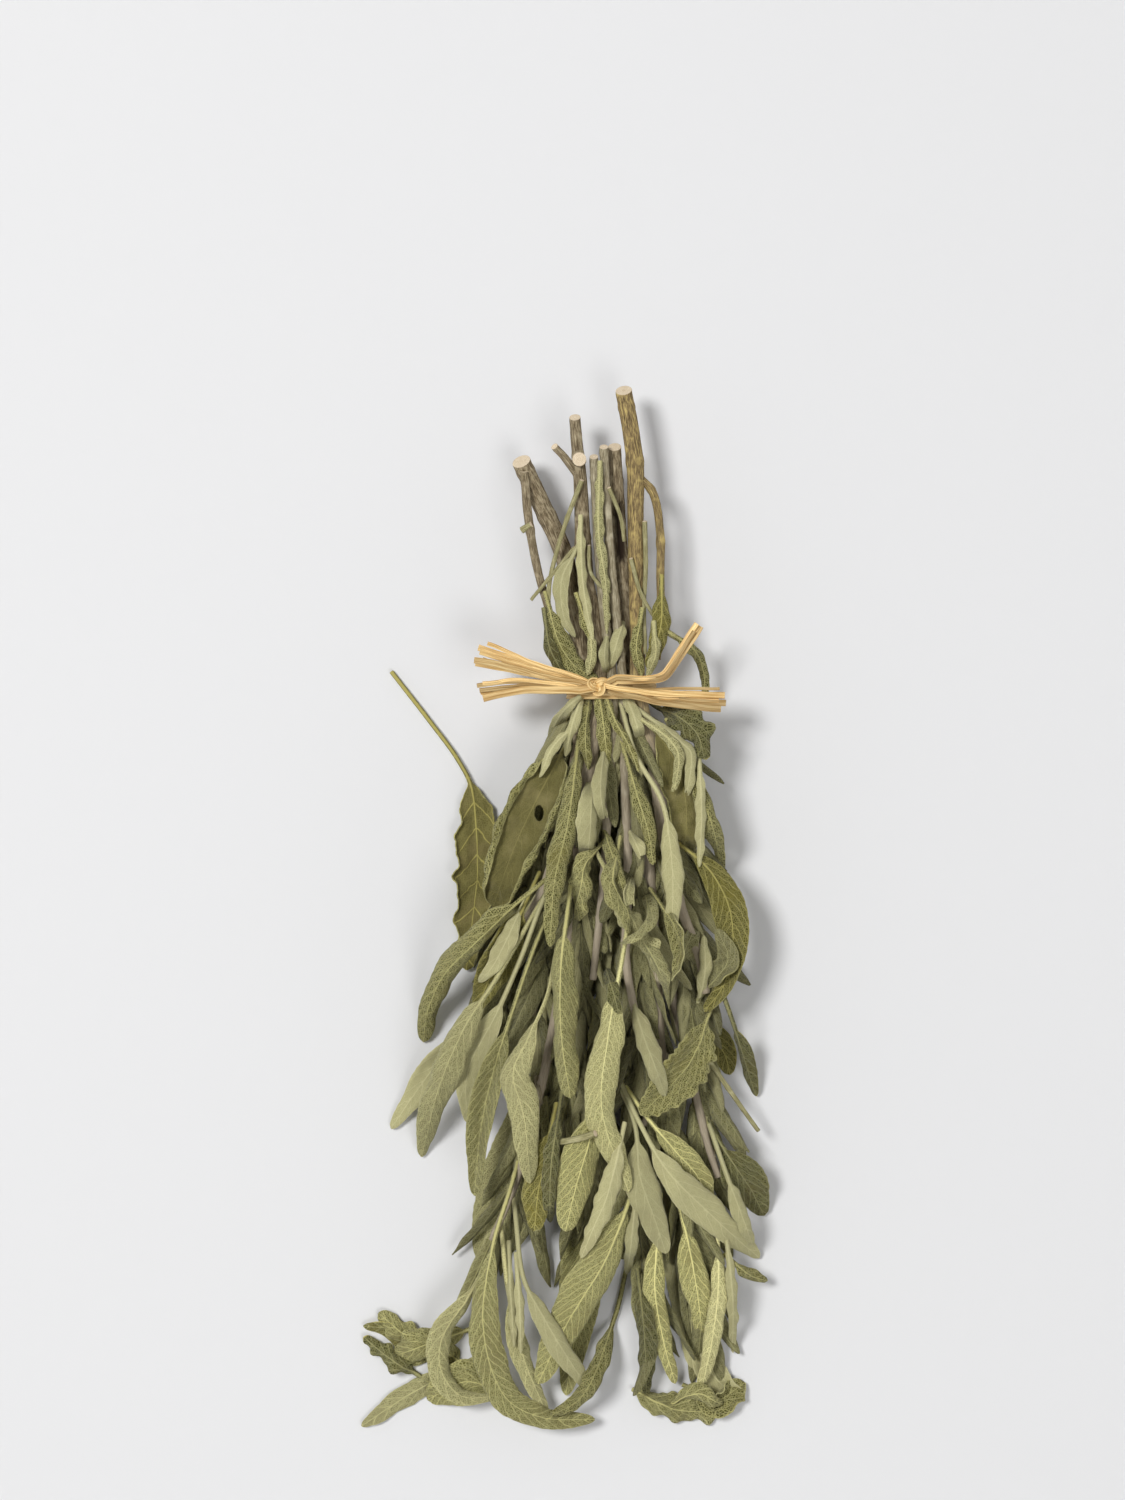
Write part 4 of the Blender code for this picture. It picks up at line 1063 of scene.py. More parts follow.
# %% Bark and cut wood
def bark_material(name, dark, middle, light):
    material, shader = plain_material(name, middle, 0.85, Specular_IOR_Level=0.25)
    tree = material.node_tree
    along, turn, tone = (attribute(tree, key) for key in ("along", "turn", "tone"))
    place = combine(calc("COSINE", turn) * 3.0, calc("SINE", turn) * 3.0, along * 160.0 + tone * 37.0)
    streak = noise_at(place, 2.2, 5.0, 0.65)
    specks = ramp(noise_at(object_place(tree), 260.0, 3.0), 0.56, 0.72, 0.8)
    colour = mix_colour(ramp(streak, 0.48, 0.7), middle, light)
    colour = mix_colour(ramp(streak, 0.5, 0.3), colour, dark)
    colour = mix_colour(specks, colour, light)
    felt = calc("SUBTRACT", 0.9, fade(along, 75 * MM, 125 * MM) * 0.9)
    young = mix_colour(streak, (0.20, 0.155, 0.105), (0.60, 0.52, 0.39))
    colour = mix_colour(felt, colour, young)
    # The torn hollow is painted nearly black brown: its brown inside, with painted shade of the recess
    # on top.
    colour = mix_colour(attribute(tree, "hollow"), colour, (0.030, 0.018, 0.010))
    dress_shader(shader, colour * tone, streak, 0.25)
    return material


def cut_wood_material():
    material, shader = plain_material("cut wood", (0.75, 0.62, 0.44), 0.8)
    tree = material.node_tree
    rings = calc("SINE", attribute(tree, "ring") * 14.0)
    grain = noise_at(object_place(tree), 1800.0, 2.0)
    dress_shader(shader, mix_colour(rings * 0.22 + grain * 0.8, (0.86, 0.74, 0.56), (0.52, 0.38, 0.21)))
    return material


brown_bark = bark_material("grey brown bark", (0.050, 0.033, 0.019), (0.215, 0.165, 0.095),
                           (0.52, 0.44, 0.29))
golden_bark = bark_material("golden brown bark", (0.055, 0.036, 0.015), (0.240, 0.170, 0.080),
                            (0.60, 0.46, 0.17))
young_bark = bark_material("pale young bark", (0.12, 0.094, 0.055), (0.31, 0.262, 0.165),
                           (0.60, 0.54, 0.38))
straw_bark = bark_material("green straw", (0.13, 0.115, 0.045), (0.33, 0.30, 0.14), (0.60, 0.56, 0.32))
cut_wood = cut_wood_material()
print("Bark materials: 4 and", cut_wood.name)

# %% [markdown]
# Eight stems run the length of the bunch, and some carry a side shoot. A path is rows of x, y, z and
# diameter from the knife cut downwards. Both ends get a few rings that close in on the middle, so
# that the cut is a flat face with its own rings of wood and not a stretched cap.

# %% A stem and its numbers
CUT_RINGS = [(0.01, 0.97), (0.02, 0.9), (0.03, 0.55), (0.04, 0.22)]      # step out, share of the width
STEM_STEP = 0.9


def with_cut_faces(points):
    """The smooth path in even steps, with rings that close both ends as flat faces."""
    length = route_length([p[:3] for p in points])
    path = smooth_route(points, max(int(length / STEM_STEP), 6))
    ends = []
    for end, inner in ((path[0], path[1]), (path[-1], path[-2])):
        out = (end[:3] - inner[:3]) / np.linalg.norm(end[:3] - inner[:3])
        ends.append([np.append(end[:3] + out * step, end[3] * wide) for step, wide in CUT_RINGS])
    return np.vstack([ends[0][::-1], path, ends[1]])


def make_twig(name, paths, slot, bark, inputs, values):
    """One piece of bark with cut ends along the paths, and the pile raised to its upper side."""
    paths = [with_cut_faces(path) for path in paths]
    inputs = {"Bark": bark, "Cut wood": cut_wood, **inputs}
    piece = finish_piece(name, run_tree(name, path_curve(name, paths), stem_tree, inputs, values), slot)
    for path in paths:
        pile.cover(np.column_stack([path[:, :2], path[:, 2] + path[:, 3] / 2]))
    return piece


def make_stem(number, name, path, shoots=(), bark=brown_bark, slot="brown_bark", **values):
    """path and shoots are rows of x, y, z and diameter; the first point is the knife cut."""
    inputs = {"Ribs": 5, "Rib depth": 0.10 * MM, "Fibre depth": 0.2 * MM, "Knob spacing": 19.0 * MM,
              "Knob height": 0.22 * MM, "Slant": 0.65, "Shift": number * 0.37, "Tone": 1.0}
    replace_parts(make_twig(name + "_bark", [path, *shoots], slot, bark, inputs, values), name)


print("Rings in a path of 9 mm:", len(with_cut_faces([(0, 0, 0, 4), (9, 0, 0, 4)])))

# %% [markdown]
# The thick stems lean apart above the tie and thin out below it, where each ends hidden among the
# leaves it carries.

# %% The eight stems
STEMS = [
    dict(name="stem_back_left", path=[(5.5, 127, 8.6, 4.2), (7.5, 95, 8.4, 4.4), (8.0, 67, 8.3, 4.4),
         (2, 35, 7.5, 3.6), (-6, -5, 7.0, 3.0), (-11, -45, 7.0, 2.6), (-14, -74, 7.0, 2.2)]),
    dict(name="stem_back_right", path=[(15.5, 131, 8.6, 4.4), (14.6, 95, 8.5, 4.6),
         (14.0, 67, 8.4, 4.6), (21, 35, 8.0, 3.8), (30, -10, 8.0, 3.2), (38, -45, 9.5, 2.8),
         (43.5, -69, 11.5, 2.4), (47, -80, 12.0, 2.2)]),
    dict(name="stem_left_thick", path=[(-12.6, 136.4, 12.6, 5.7), (-6.0, 122.5, 12.4, 5.7),
         (0.4, 108, 12.4, 5.6), (3.6, 90, 13.0, 5.2), (6.2, 67, 14.6, 4.8), (2.2, 35, 15.0, 4.0),
         (-5.4, 8.4, 16.5, 3.2), (-12.3, -4.8, 16.5, 2.8), (-20.4, -21.9, 14.0, 2.4)],
         shoots=[[(-11.6, 133.4, 14.6, 2.6), (-10.2, 118, 17.5, 2.6), (-7.5, 103, 17.6, 2.4),
         (-3.9, 90, 16.8, 2.2), (-0.9, 76, 15.6, 2.0)]]),
    dict(name="stem_middle_cut_stub", path=[(3.6, 149.4, 16.0, 3.4), (4.5, 139.2, 16.0, 3.6),
         (5.4, 128.7, 16.0, 4.2), (6.5, 103, 15.9, 4.8), (8.4, 92, 15.8, 4.8), (11.0, 67, 15.9, 4.6),
         (7, 38, 17.0, 4.0), (2.5, 0, 14.0, 3.2), (-4, -40, 12.5, 2.8), (-12.3, -75.3, 13.5, 2.4),
         (-16.5, -87, 13.0, 2.2), (-21.5, -99, 12.0, 2.0)], shoots=[[(4.8, 136.4, 15.6, 4.4),
         (4.9, 136.4, 20.4, 4.2)], [(-2.6, 140.6, 16.6, 2.2), (0.8, 137.0, 16.4, 2.3),
         (4.8, 131.5, 16.2, 2.4)]]),
    dict(name="stem_ribbed_left", path=[(9.3, 137.4, 17.6, 2.6), (10.8, 110, 17.2, 2.8),
         (12.2, 92, 16.6, 2.8), (15.1, 67, 16.4, 2.7), (14, 40, 17.5, 2.6), (12, 10, 18.0, 2.3),
         (9, -20, 16.0, 2.0)], bark=young_bark, slot="young_bark"),
    dict(name="stem_ribbed_right", path=[(12.3, 140.4, 17.2, 2.6), (14.1, 110, 17.2, 2.7),
         (15.8, 92, 16.7, 2.8), (18.2, 67, 16.4, 2.7), (18.6, 40, 18.0, 2.6), (19.5, 10, 19.0, 2.6),
         (18.9, -14.1, 19.5, 2.4), (23.1, -34.8, 19.5, 2.2), (28.5, -45, 18.5, 2.0)], bark=young_bark,
         slot="young_bark"),
    dict(name="stem_hollow_brown", path=[(15.6, 140.7, 13.4, 4.0), (17.4, 112, 12.8, 4.2),
         (18.8, 92, 11.6, 4.0), (20.2, 67, 10.4, 3.8), (24, 36, 12.5, 3.8), (26.4, 5, 14.0, 3.7),
         (28.0, -25.8, 14.5, 3.6), (29.4, -46, 14.5, 3.0), (24.5, -64, 15.0, 2.4)], Hollow_middle=26 *
         MM),
    dict(name="stem_right_tall", path=[(18.3, 157.5, 16.0, 5.0), (20.4, 146.1, 16.0, 5.1),
         (21.9, 133.8, 16.0, 5.2), (21.9, 118, 16.0, 4.8), (22.2, 98, 16.0, 4.7),
         (22.6, 81.3, 15.9, 4.6), (22.7, 67, 15.7, 4.6), (27.4, 45, 18.0, 4.2), (30.5, 22, 18.5, 3.6),
         (35, 3, 17.5, 3.0), (40.5, -12, 17.5, 2.6), (43, -24, 17.5, 2.2)],
         shoots=[[(23.0, 131.5, 16.0, 2.4), (27.3, 126.3, 16.4, 2.4), (29.3, 114.9, 16.4, 2.4),
         (29.4, 102.9, 16.4, 2.4), (29.4, 90, 16.2, 2.3), (28.4, 76.4, 16.0, 2.1)]], bark=golden_bark),
]

for number, item in enumerate(STEMS):
    make_stem(number, **item)
print("Stems:", len(STEMS))

# %% [markdown]
# ## The crowd of small leaves inside
# Along every stem sits a pair of leaves each centimetre or so. Hundreds of them are pressed
# together inside the bunch, where only an edge or a tip of each is seen. They could be copies of
# one leaf, but then all would have one shape. Here the node tree lays a flat grid at every place
# on the stem and shapes it afterwards, so each leaf has its own length, splay, roll, bend and curl
# from one seed, and keeps its own share, edge and tone for the leaf materials.

# %% Flat leaves at every knot of a stem
def flat_leaves(tree, given):
    """A flat grid at each leaf's place, which knows its leaf's number, side, base and direction."""
    knots = add_node(tree, "GeometryNodeCurveToPoints", {"Curve": given["Geometry"],
                     "Length": given["Spacing"]}, mode="LENGTH")
    marked = keep_value(Value(knots.outputs[0]), "heading", Value(knots.outputs["Tangent"]),
                        kind=VECTOR)
    pairs = add_node(tree, "GeometryNodeDuplicateElements", {"Geometry": marked,
                     "Amount": given["Leaves at a knot"]}, domain="POINT")
    marked = keep_value(Value(pairs.outputs[0]), "base", reading(tree, "InputPosition"), kind=VECTOR)
    marked = keep_value(marked, "side", Value(pairs.outputs["Duplicate Index"]) % 2.0 * 2.0 - 1.0)
    marked = keep_value(marked, "number", reading(tree, "InputIndex"))
    grid = add_node(tree, "GeometryNodeMeshGrid", {"Size X": 1.0, "Size Y": 1.0, "Vertices X": 7,
                    "Vertices Y": 17})
    across, along, _ = separate(Value(grid.outputs["UV Map"]))
    sheet = keep_value(Value(grid.outputs["Mesh"]), "share", along)
    sheet = keep_value(sheet, "v", across * 2.0 - 1.0)
    sockets = {"Points": marked, "Instance": sheet}
    return made_real(result(tree, "GeometryNodeInstanceOnPoints", sockets))


def leaf_directions(tree, given, chance, u):
    """Along the leaf, to its side, and across and out of the blade, which rolls as it goes."""
    turn = named_value(tree, "side") * (given["Splay"] * chance(0.15, 1.1, 3))
    aim = result(tree, "ShaderNodeVectorRotate", {"Vector": named_value(tree, "heading", VECTOR),
                 "Angle": turn}, rotation_type="Z_AXIS")
    aim = calc("NORMALIZE", aim + combine(0.0, 0.0, chance(-0.10, 0.26, 4)))
    side = calc("NORMALIZE", calc("CROSS_PRODUCT", (0, 0, 1), aim))
    up = calc("CROSS_PRODUCT", aim, side)
    roll = chance(-0.9, 0.9, 5) + u * chance(-0.9, 0.9, 6)
    blade = side * calc("COSINE", roll) + up * calc("SINE", roll)
    return aim, side, up, blade, calc("CROSS_PRODUCT", aim, blade)


def sprig_leaf_place(tree, given, chance, u, v):
    """Where every point of a grid goes: bent, curled and rippled. Also its length and half width."""
    aim, side, up, blade, out = leaf_directions(tree, given, chance, u)
    length = chance(given["Shortest"], given["Longest"], 1)
    width = chance(given["Narrowest"], given["Widest"], 2)
    bend = u ** 2.0 * length
    middle = named_value(tree, "base", VECTOR) + aim * (u * length)
    middle = middle + up * (bend * (given["Droop"] * chance(-1.4, 0.6, 7)))
    middle = middle + side * (bend * chance(-0.22, 0.22, 8))
    arch = calc("MAXIMUM", calc("SINE", u ** 0.8 * math.pi), 0.0) ** 0.5
    half = calc("MAXIMUM", arch, 0.12) * (width * 0.5)
    curl = chance(given["Least curl"], given["Most curl"], 9)
    part, reach = v * curl * 0.5, half * 2.0 / curl
    ripple = calc("SINE", u * 17.0 + v * 2.0) * abs(v) * (0.35 * MM)
    place = middle + blade * (calc("SINE", part) * reach)
    place = place + out * ((calc("COSINE", part) - 1.0) * reach + ripple)
    x, y, z = separate(place)
    return combine(x, y, calc("MAXIMUM", z, given["Lowest"] + u * (0.5 * MM))), length, half


print("Each leaf will be a grid of 7 by 17 points")

# %% [markdown]
# The flat grids are moved to their places, keep what the leaf materials read, and get their
# thickness: the grid pushed outwards is the face, and the same grid turned over is the back.

# %% The tree that grows pairs of leaves on a stem
def make_sprig_tree():
    tree, given, made = geometry_tree("leaves on a stem", [
        ("Spacing", "Float", 9 * MM), ("Leaves at a knot", "Int", 2), ("Shortest", "Float", 18 * MM),
        ("Longest", "Float", 32 * MM), ("Narrowest", "Float", 4.2 * MM), ("Widest", "Float", 8.0 * MM),
        ("Splay", "Float", 0.5), ("Droop", "Float", 0.12), ("Least curl", "Float", 0.8),
        ("Most curl", "Float", 2.8), ("Thickness", "Float", 0.32 * MM), ("Lowest", "Float", 0.4 * MM),
        ("Darkest", "Float", 0.65), ("Palest", "Float", 1.1), ("Seed", "Int", 1),
        ("Face", "Material", None), ("Back", "Material", None)])
    flat = flat_leaves(tree, given)
    chance = chooser(named_value(tree, "number"), given["Seed"])
    u, v = named_value(tree, "share"), named_value(tree, "v")
    place, length, half = sprig_leaf_place(tree, given, chance, u, v)
    shaped = result(tree, "GeometryNodeSetPosition", {"Geometry": flat, "Position": place})
    shaped = keep_value(shaped, "edge", abs(v))
    shaped = keep_value(shaped, "tone", chance(given["Darkest"], given["Palest"], 10))
    shaped = keep_value(shaped, "leaf_mm", combine(u * length / MM, v * half / MM), "CORNER", "FLOAT2")
    face, back = set_material(shaped, given["Face"]), set_material(shaped, given["Back"])
    thick = result(tree, "GeometryNodeExtrudeMesh", {"Mesh": face, "Individual": False,
                   "Offset Scale": given["Thickness"]})
    both = add_node(tree, "GeometryNodeJoinGeometry")
    feed(both.inputs[0], thick)
    feed(both.inputs[0], result(tree, "GeometryNodeFlipFaces", {"Mesh": back}))
    closed = result(tree, "GeometryNodeMergeByDistance", {"Geometry": both.outputs[0],
                    "Distance": 0.002 * MM})
    feed(made[0], made_real(closed))
    return tree


sprig_tree = make_sprig_tree()
print("Sprig tree:", len(sprig_tree.nodes), "nodes")

# %% [markdown]
# The stems below the tie, and some thinner twigs between them, carry the leaves. The paths stay
# low in the bunch, so that the leaves fill the hollows under the front leaves. Their tones are set
# low, which paints shade on them, as they lie in the shade of the leaves above.

# %% Pairs of leaves on the stems
def grow_leaves(name, paths, look, **values):
    slot, (face, back) = LOOKS[look]
    rows = []
    for path in paths:
        line = smooth_route(path, max(int(route_length(path) / 3), 4))
        rows.append(np.column_stack([line[:, :3], np.ones(len(line))]))
    mesh = run_tree(name, path_curve(name, rows), sprig_tree, {"Face": face, "Back": back}, values)
    mesh.shade_smooth()
    return finish_piece(name, mesh, slot)


INNER_TWIGS = [
    [(3, 62, 9), (-3, 35, 8), (-12, 5, 8), (-19, -25, 7)],
    [(8, 62, 13), (4, 35, 13), (-2, 5, 12), (-8, -30, 10)],
    [(11, 64, 15), (9, 35, 16), (6, 5, 15), (4, -30, 12), (2, -62, 10)],
    [(15, 62, 9), (15, 35, 9), (14, 0, 9), (13, -30, 9), (12, -62, 8)],
    [(18, 64, 15), (20, 35, 17), (22, 5, 17), (24, -25, 15), (24, -55, 12)],
    [(22, 62, 12), (27, 35, 13), (33, 5, 13), (38, -22, 12), (42, -48, 10)],
    [(25, 60, 9), (30, 38, 8), (35, 15, 8), (38, -8, 7)],
]
LOW_TWIGS = [
    [(-12, -62, 9), (-16, -80, 8), (-20, -96, 7)],
    [(-4, -45, 9), (-7, -75, 8), (-8, -88, 7)],
    [(8, -55, 10), (8, -80, 9), (8, -90, 7)],
    [(20, -52, 12), (22, -78, 10), (25, -104, 8), (27, -118, 6)],
    [(30, -52, 12), (34, -76, 10), (38, -100, 8), (42, -122, 6)],
    [(38, -48, 10), (41, -66, 9), (43, -86, 7), (45, -104, 6)],
]
# Low darkest and palest tones darken these leaves inside the bunch: painted shade.
grow_leaves("inner_green_leaves", INNER_TWIGS, "pebbled", Seed=4, Spacing=8 * MM, Splay=0.42,
            Darkest=0.38, Palest=0.85)
grow_leaves("inner_pale_leaves", INNER_TWIGS, "pale", Seed=9, Spacing=11 * MM, Splay=0.30,
            Widest=6.5 * MM, Darkest=0.5, Palest=0.95)
grow_leaves("low_inner_leaves", LOW_TWIGS, "light", Seed=15, Spacing=9 * MM, Splay=0.35, Droop=0.2,
            Darkest=0.5, Palest=1.0)

# %% [markdown]
# ## The raffia tie
# Raffia is a flat strip of palm leaf that splits into strands. It is wound round the neck three
# times, knotted once over the front, and its four ends are left long. Each end starts as one
# twisted strip at the knot and frays as it goes. All of it follows paths, so one node tree makes
# it: it copies the path once for each strand, spreads the copies towards the far end, cuts them
# to uneven lengths, and sweeps a pleated strip along each.

# %% The tree that frays a path into strands
def raffia_strip(tree, given):
    """The cross-section of a strand: a thin pleated strip that knows the distance across itself."""
    strip = result(tree, "GeometryNodeCurvePrimitiveQuadrilateral",
                   {"Width": given["Strand thickness"], "Height": given["Strand width"]})
    strip = result(tree, "GeometryNodeResampleCurve", {"Curve": strip, "Count": 18})
    across = separate(reading(tree, "InputPosition"))[1]
    pleat = combine(calc("SINE", across / given["Strand width"] * 14.0) * given["Pleat depth"])
    strip = result(tree, "GeometryNodeSetPosition", {"Geometry": strip, "Offset": pleat})
    return keep_value(strip, "across", across)


def spread_offset(tree, given, strand, chance):
    """How far a strand lies from the path: in rows that open towards the end, and wandering."""
    last = calc("MAXIMUM", given["Strands"] - 1.0, 1.0)
    row = strand / last * 2.0 - 1.0 + chance(-0.25, 0.25, 11)
    opening = reading(tree, "SplineParameter", "Factor") ** 1.3
    widen = opening * (given["End spread"] - given["Start spread"]) + given["Start spread"]
    side = calc("NORMALIZE", calc("CROSS_PRODUCT", reading(tree, "InputTangent"), given["Flat side"]))
    shifted = reading(tree, "InputPosition") + given["Flat side"] * (strand * 0.07)
    wander = (noise_at(shifted, 75.0, 1.0) - 0.5) * (given["Wander"] * 2.0)
    level = chance(-1.0, 1.0, 5) * given["Stack"] + wander
    return side * (row * widen + wander) + given["Flat side"] * level


def make_raffia_tree():
    tree, given, made = geometry_tree("frayed raffia", [
        ("Strands", "Int", 4), ("Start spread", "Float", 0.5 * MM), ("End spread", "Float", 2.0 * MM),
        ("Strand width", "Float", 1.2 * MM), ("Strand thickness", "Float", 0.22 * MM),
        ("Pleat depth", "Float", 0.12 * MM), ("Stack", "Float", 0.4 * MM),
        ("Wander", "Float", 0.5 * MM), ("Uneven ends", "Float", 0.1),
        ("Flat side", "Vector", (0, 0, 1)), ("Seed", "Int", 1), ("Fibre", "Material", None)])
    copies = add_node(tree, "GeometryNodeDuplicateElements", {"Geometry": given["Geometry"],
                      "Amount": given["Strands"]}, domain="SPLINE")
    curve = keep_value(Value(copies.outputs["Geometry"]), "strand",
                       Value(copies.outputs["Duplicate Index"]), domain="CURVE")
    strand = named_value(tree, "strand")
    chance = chooser(strand, given["Seed"])
    offset = spread_offset(tree, given, strand, chance)
    curve = result(tree, "GeometryNodeSetPosition", {"Geometry": curve, "Offset": offset})
    end = calc("SUBTRACT", 1.0, given["Uneven ends"] * chance(0.0, 1.0, 23))
    curve = result(tree, "GeometryNodeTrimCurve", {"Curve": curve, 3: end}, mode="FACTOR")
    curve = result(tree, "GeometryNodeSetCurveNormal", {"Curve": curve, "Normal": given["Flat side"]},
                   mode="FREE")
    curve = keep_value(curve, "along", reading(tree, "SplineParameter", "Length"))
    swept = result(tree, "GeometryNodeCurveToMesh", {
        "Curve": curve, "Profile Curve": raffia_strip(tree, given), "Scale": chance(0.45, 1.35, 37),
        "Fill Caps": True})
    toned = keep_value(swept, "tone", chance(0.5, 1.15, 41))
    feed(made[0], made_real(set_material(toned, given["Fibre"])))
    return tree


raffia_tree = make_raffia_tree()
print("Raffia tree:", len(raffia_tree.nodes), "nodes")

# %% [markdown]
# Dry raffia is straw-coloured, with brown lines between its fibres, and slightly glossy. The colour
# follows the distance along and across each strand, so every strand is streaked lengthwise.

# %% Raffia fibre
def raffia_material():
    material, shader = plain_material("dry raffia", (0.75, 0.5, 0.25), 0.55)
    tree = material.node_tree
    along, across, tone = (attribute(tree, key) for key in ("along", "across", "tone"))
    fibre = noise_at(combine(across * 3000.0, along * 80.0, tone * 31.0), 1.0, 4.0)
    colour = mix_colour(ramp(fibre, 0.36, 0.62), (0.53, 0.31, 0.095), (1.0, 0.75, 0.36))
    dress_shader(shader, colour * tone, fibre, 0.12, strength=0.6)
    return material


raffia = raffia_material()
print("Raffia fibre:", len(raffia.node_tree.nodes), "nodes")

# %% [markdown]
# The tie holds the whole bunch. It could be a ring, but a real one is a strip that climbs a little
# with each turn. The path goes straight over the front and the back and half round at the sides,
# three times, and the tree lays two strands along it.

# %% The wrap round the neck
TIE_CENTRE = (14.6, 67.2, 12.6)
TIE_INSIDE = (25.6, 15.4)
WRAP_TURNS = 3.2


def make_raffia(node, path, tilt=0, **values):
    """One piece of the tie. Values are the tree's named inputs, with _ for a space."""
    data = path_curve(node, [np.column_stack([path, np.full(len(path), 2.0)])])
    data.splines[0].points.foreach_set("tilt", [math.radians(tilt)] * len(path))
    inputs = {"Fibre": raffia, "Flat side": (0, 0, 1)}
    mesh = run_tree(node + "_fibres", data, raffia_tree, inputs, values)
    mesh.shade_smooth()
    mesh.set_sharp_from_angle(angle=math.radians(35))
    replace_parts(finish_piece(node + "_fibres", mesh, "raffia"), node)


def wrap_path(steps=70):
    """Turns round the neck: straight over the front and back, half round at the sides."""
    angle = np.linspace(0.6 * math.pi, (0.6 + 2 * WRAP_TURNS) * math.pi, int(WRAP_TURNS * steps))
    reach = TIE_INSIDE[1] / 2 + 0.35 + 0.25 * np.sin(2.7 * angle)
    straight = TIE_INSIDE[0] / 2 - TIE_INSIDE[1] / 2
    x = np.cos(angle) * reach + straight * np.clip(1.6 * np.cos(angle), -1, 1)
    y = 1.5 * np.sin(np.linspace(-1.5, 2.2, len(angle))) + 0.5 * np.sin(0.5 * angle)
    return np.column_stack([x, y, np.sin(angle) * reach]) + TIE_CENTRE


make_raffia("raffia_wrap", wrap_path(), tilt=90, Flat_side=(0, 1, 0), Strands=2, Start_spread=0.1 * MM,
            End_spread=0.2 * MM, Strand_width=2.0 * MM, Stack=0.8 * MM, Wander=0.25 * MM,
            Uneven_ends=0.0, Seed=3)

# %% [markdown]
# ## Small leaves that were too many for the frame
# A bunch has far more leaves than the frame has nodes. The small ones in the crown are laid on the
# pile one at a time, as the CAD leaves were: a leaf is a stiff strip that touches the highest
# points under it and bridges the hollows between.

# %% Lay a leaf on the pile
FIRST_SMALL_LEAF = 100          # their wrinkles are numbered from here on
SKIN_GAP = 0.35                 # from the middle of a leaf to the skin it lies on


def stiff_line(need, droop=0.05, passes=400):
    """The lowest heights of a stiff strip over the heights it needs, with ends that hang a little."""
    level = need.copy()
    for _ in range(passes):
        level[1:-1] = np.maximum(need[1:-1], (level[:-2] + level[2:]) / 2)
        level[0] = max(need[0], 2 * level[1] - level[2] - droop)
        level[-1] = max(need[-1], 2 * level[-2] - level[-3] - droop)
    return level


def resting_heights(item):
    count = 4 * (RINGS - 1) + 1
    share, v = np.linspace(0, 1, count), np.linspace(-1, 1, 13)
    path = smooth_route(item["route"], count)
    sideways = across_direction(path)
    side, up = cross_sections(item, share, v)
    spots = path[:, None, :] + side[:, :, None] * sideways[:, None, :]
    below = pile.height(spots.reshape(-1, 2)).reshape(side.shape)
    need = np.max(below - up, axis=1) + SKIN_GAP
    if item["held"]:
        need = np.maximum(need, np.linspace(*item["held"], count))
    return stiff_line(need)[::4]


def add_small_leaves(leaves, group):
    """Lay the leaves one by one, then join those of one look into one piece."""
    made = {}
    for number, item in enumerate(leaves):
        longer, level = with_buried_foot(item, resting_heights(item))
        surface = leaf_surface(longer, level, FIRST_SMALL_LEAF + number)
        made.setdefault(item["look"], []).append(surface)
    for look, surfaces in made.items():
        make_leaves(group + "_" + look.replace(" ", "_") + "_leaves", look, surfaces)
    print(group, "leaves:", {look: len(surfaces) for look, surfaces in made.items()})


SMALL_NUMBERS = dict(curl=-90, stalk=0.06, foot=4.0, sunk=5.0, ripple=0.25, wave=9.0, crumple=0.3,
                     quilt=0.08, rib=0.15, pitch=3.2, held=None)


def small(name, route, width, look="pale", **numbers):
    """A small leaf; held keeps its two ends up, in millimetres over the table."""
    return leaf(name, route, width, look, **{**SMALL_NUMBERS, **numbers})


def laid_twig(points, buried):
    """x, y, z and diameter of a twig laid on the pile, with both ends buried by some millimetres."""
    path = smooth_route(points, max(int(route_length(points)), 8))
    level = stiff_line(pile.height(path[:, :2]) + path[:, 2] / 2 - 0.2, droop=0.6, passes=25)
    to_end = np.minimum(np.arange(len(path)), np.arange(len(path))[::-1])
    level = np.maximum(level - buried * np.clip(1 - to_end / 7, 0, 1) ** 1.5, path[:, 2] / 2 + 0.3)
    return np.column_stack([path[:, :2], level, path[:, 2]])


def make_twigs(name, twigs, bark, buried=0.0, **values):
    """Thin stems that are too many for the frame, joined in one piece.

    A twig is rows of x, y and diameter, laid on the pile, or rows of x, y, z and diameter.
    """
    paths = [twig if len(twig[0]) == 4 else laid_twig(twig, buried) for twig in twigs]
    inputs = {"Sides": 10, "Ribs": 3, "Rib depth": 0.06 * MM, "Fibre depth": 0.12 * MM,
              "Knob height": 0.12 * MM, "Tone": 1.0, "Slant": 0.4}
    return make_twig(name, paths, "young_bark", bark, inputs, values)


print("A stiff strip over a bump of 1:", stiff_line(np.array([0, 0, 1.0, 0, 0])).round(2))

# %% [markdown]
# Some leaves have fallen off and lie on the table at the tips of the bunch. They dried on their own,
# so they are the most crumpled ones.

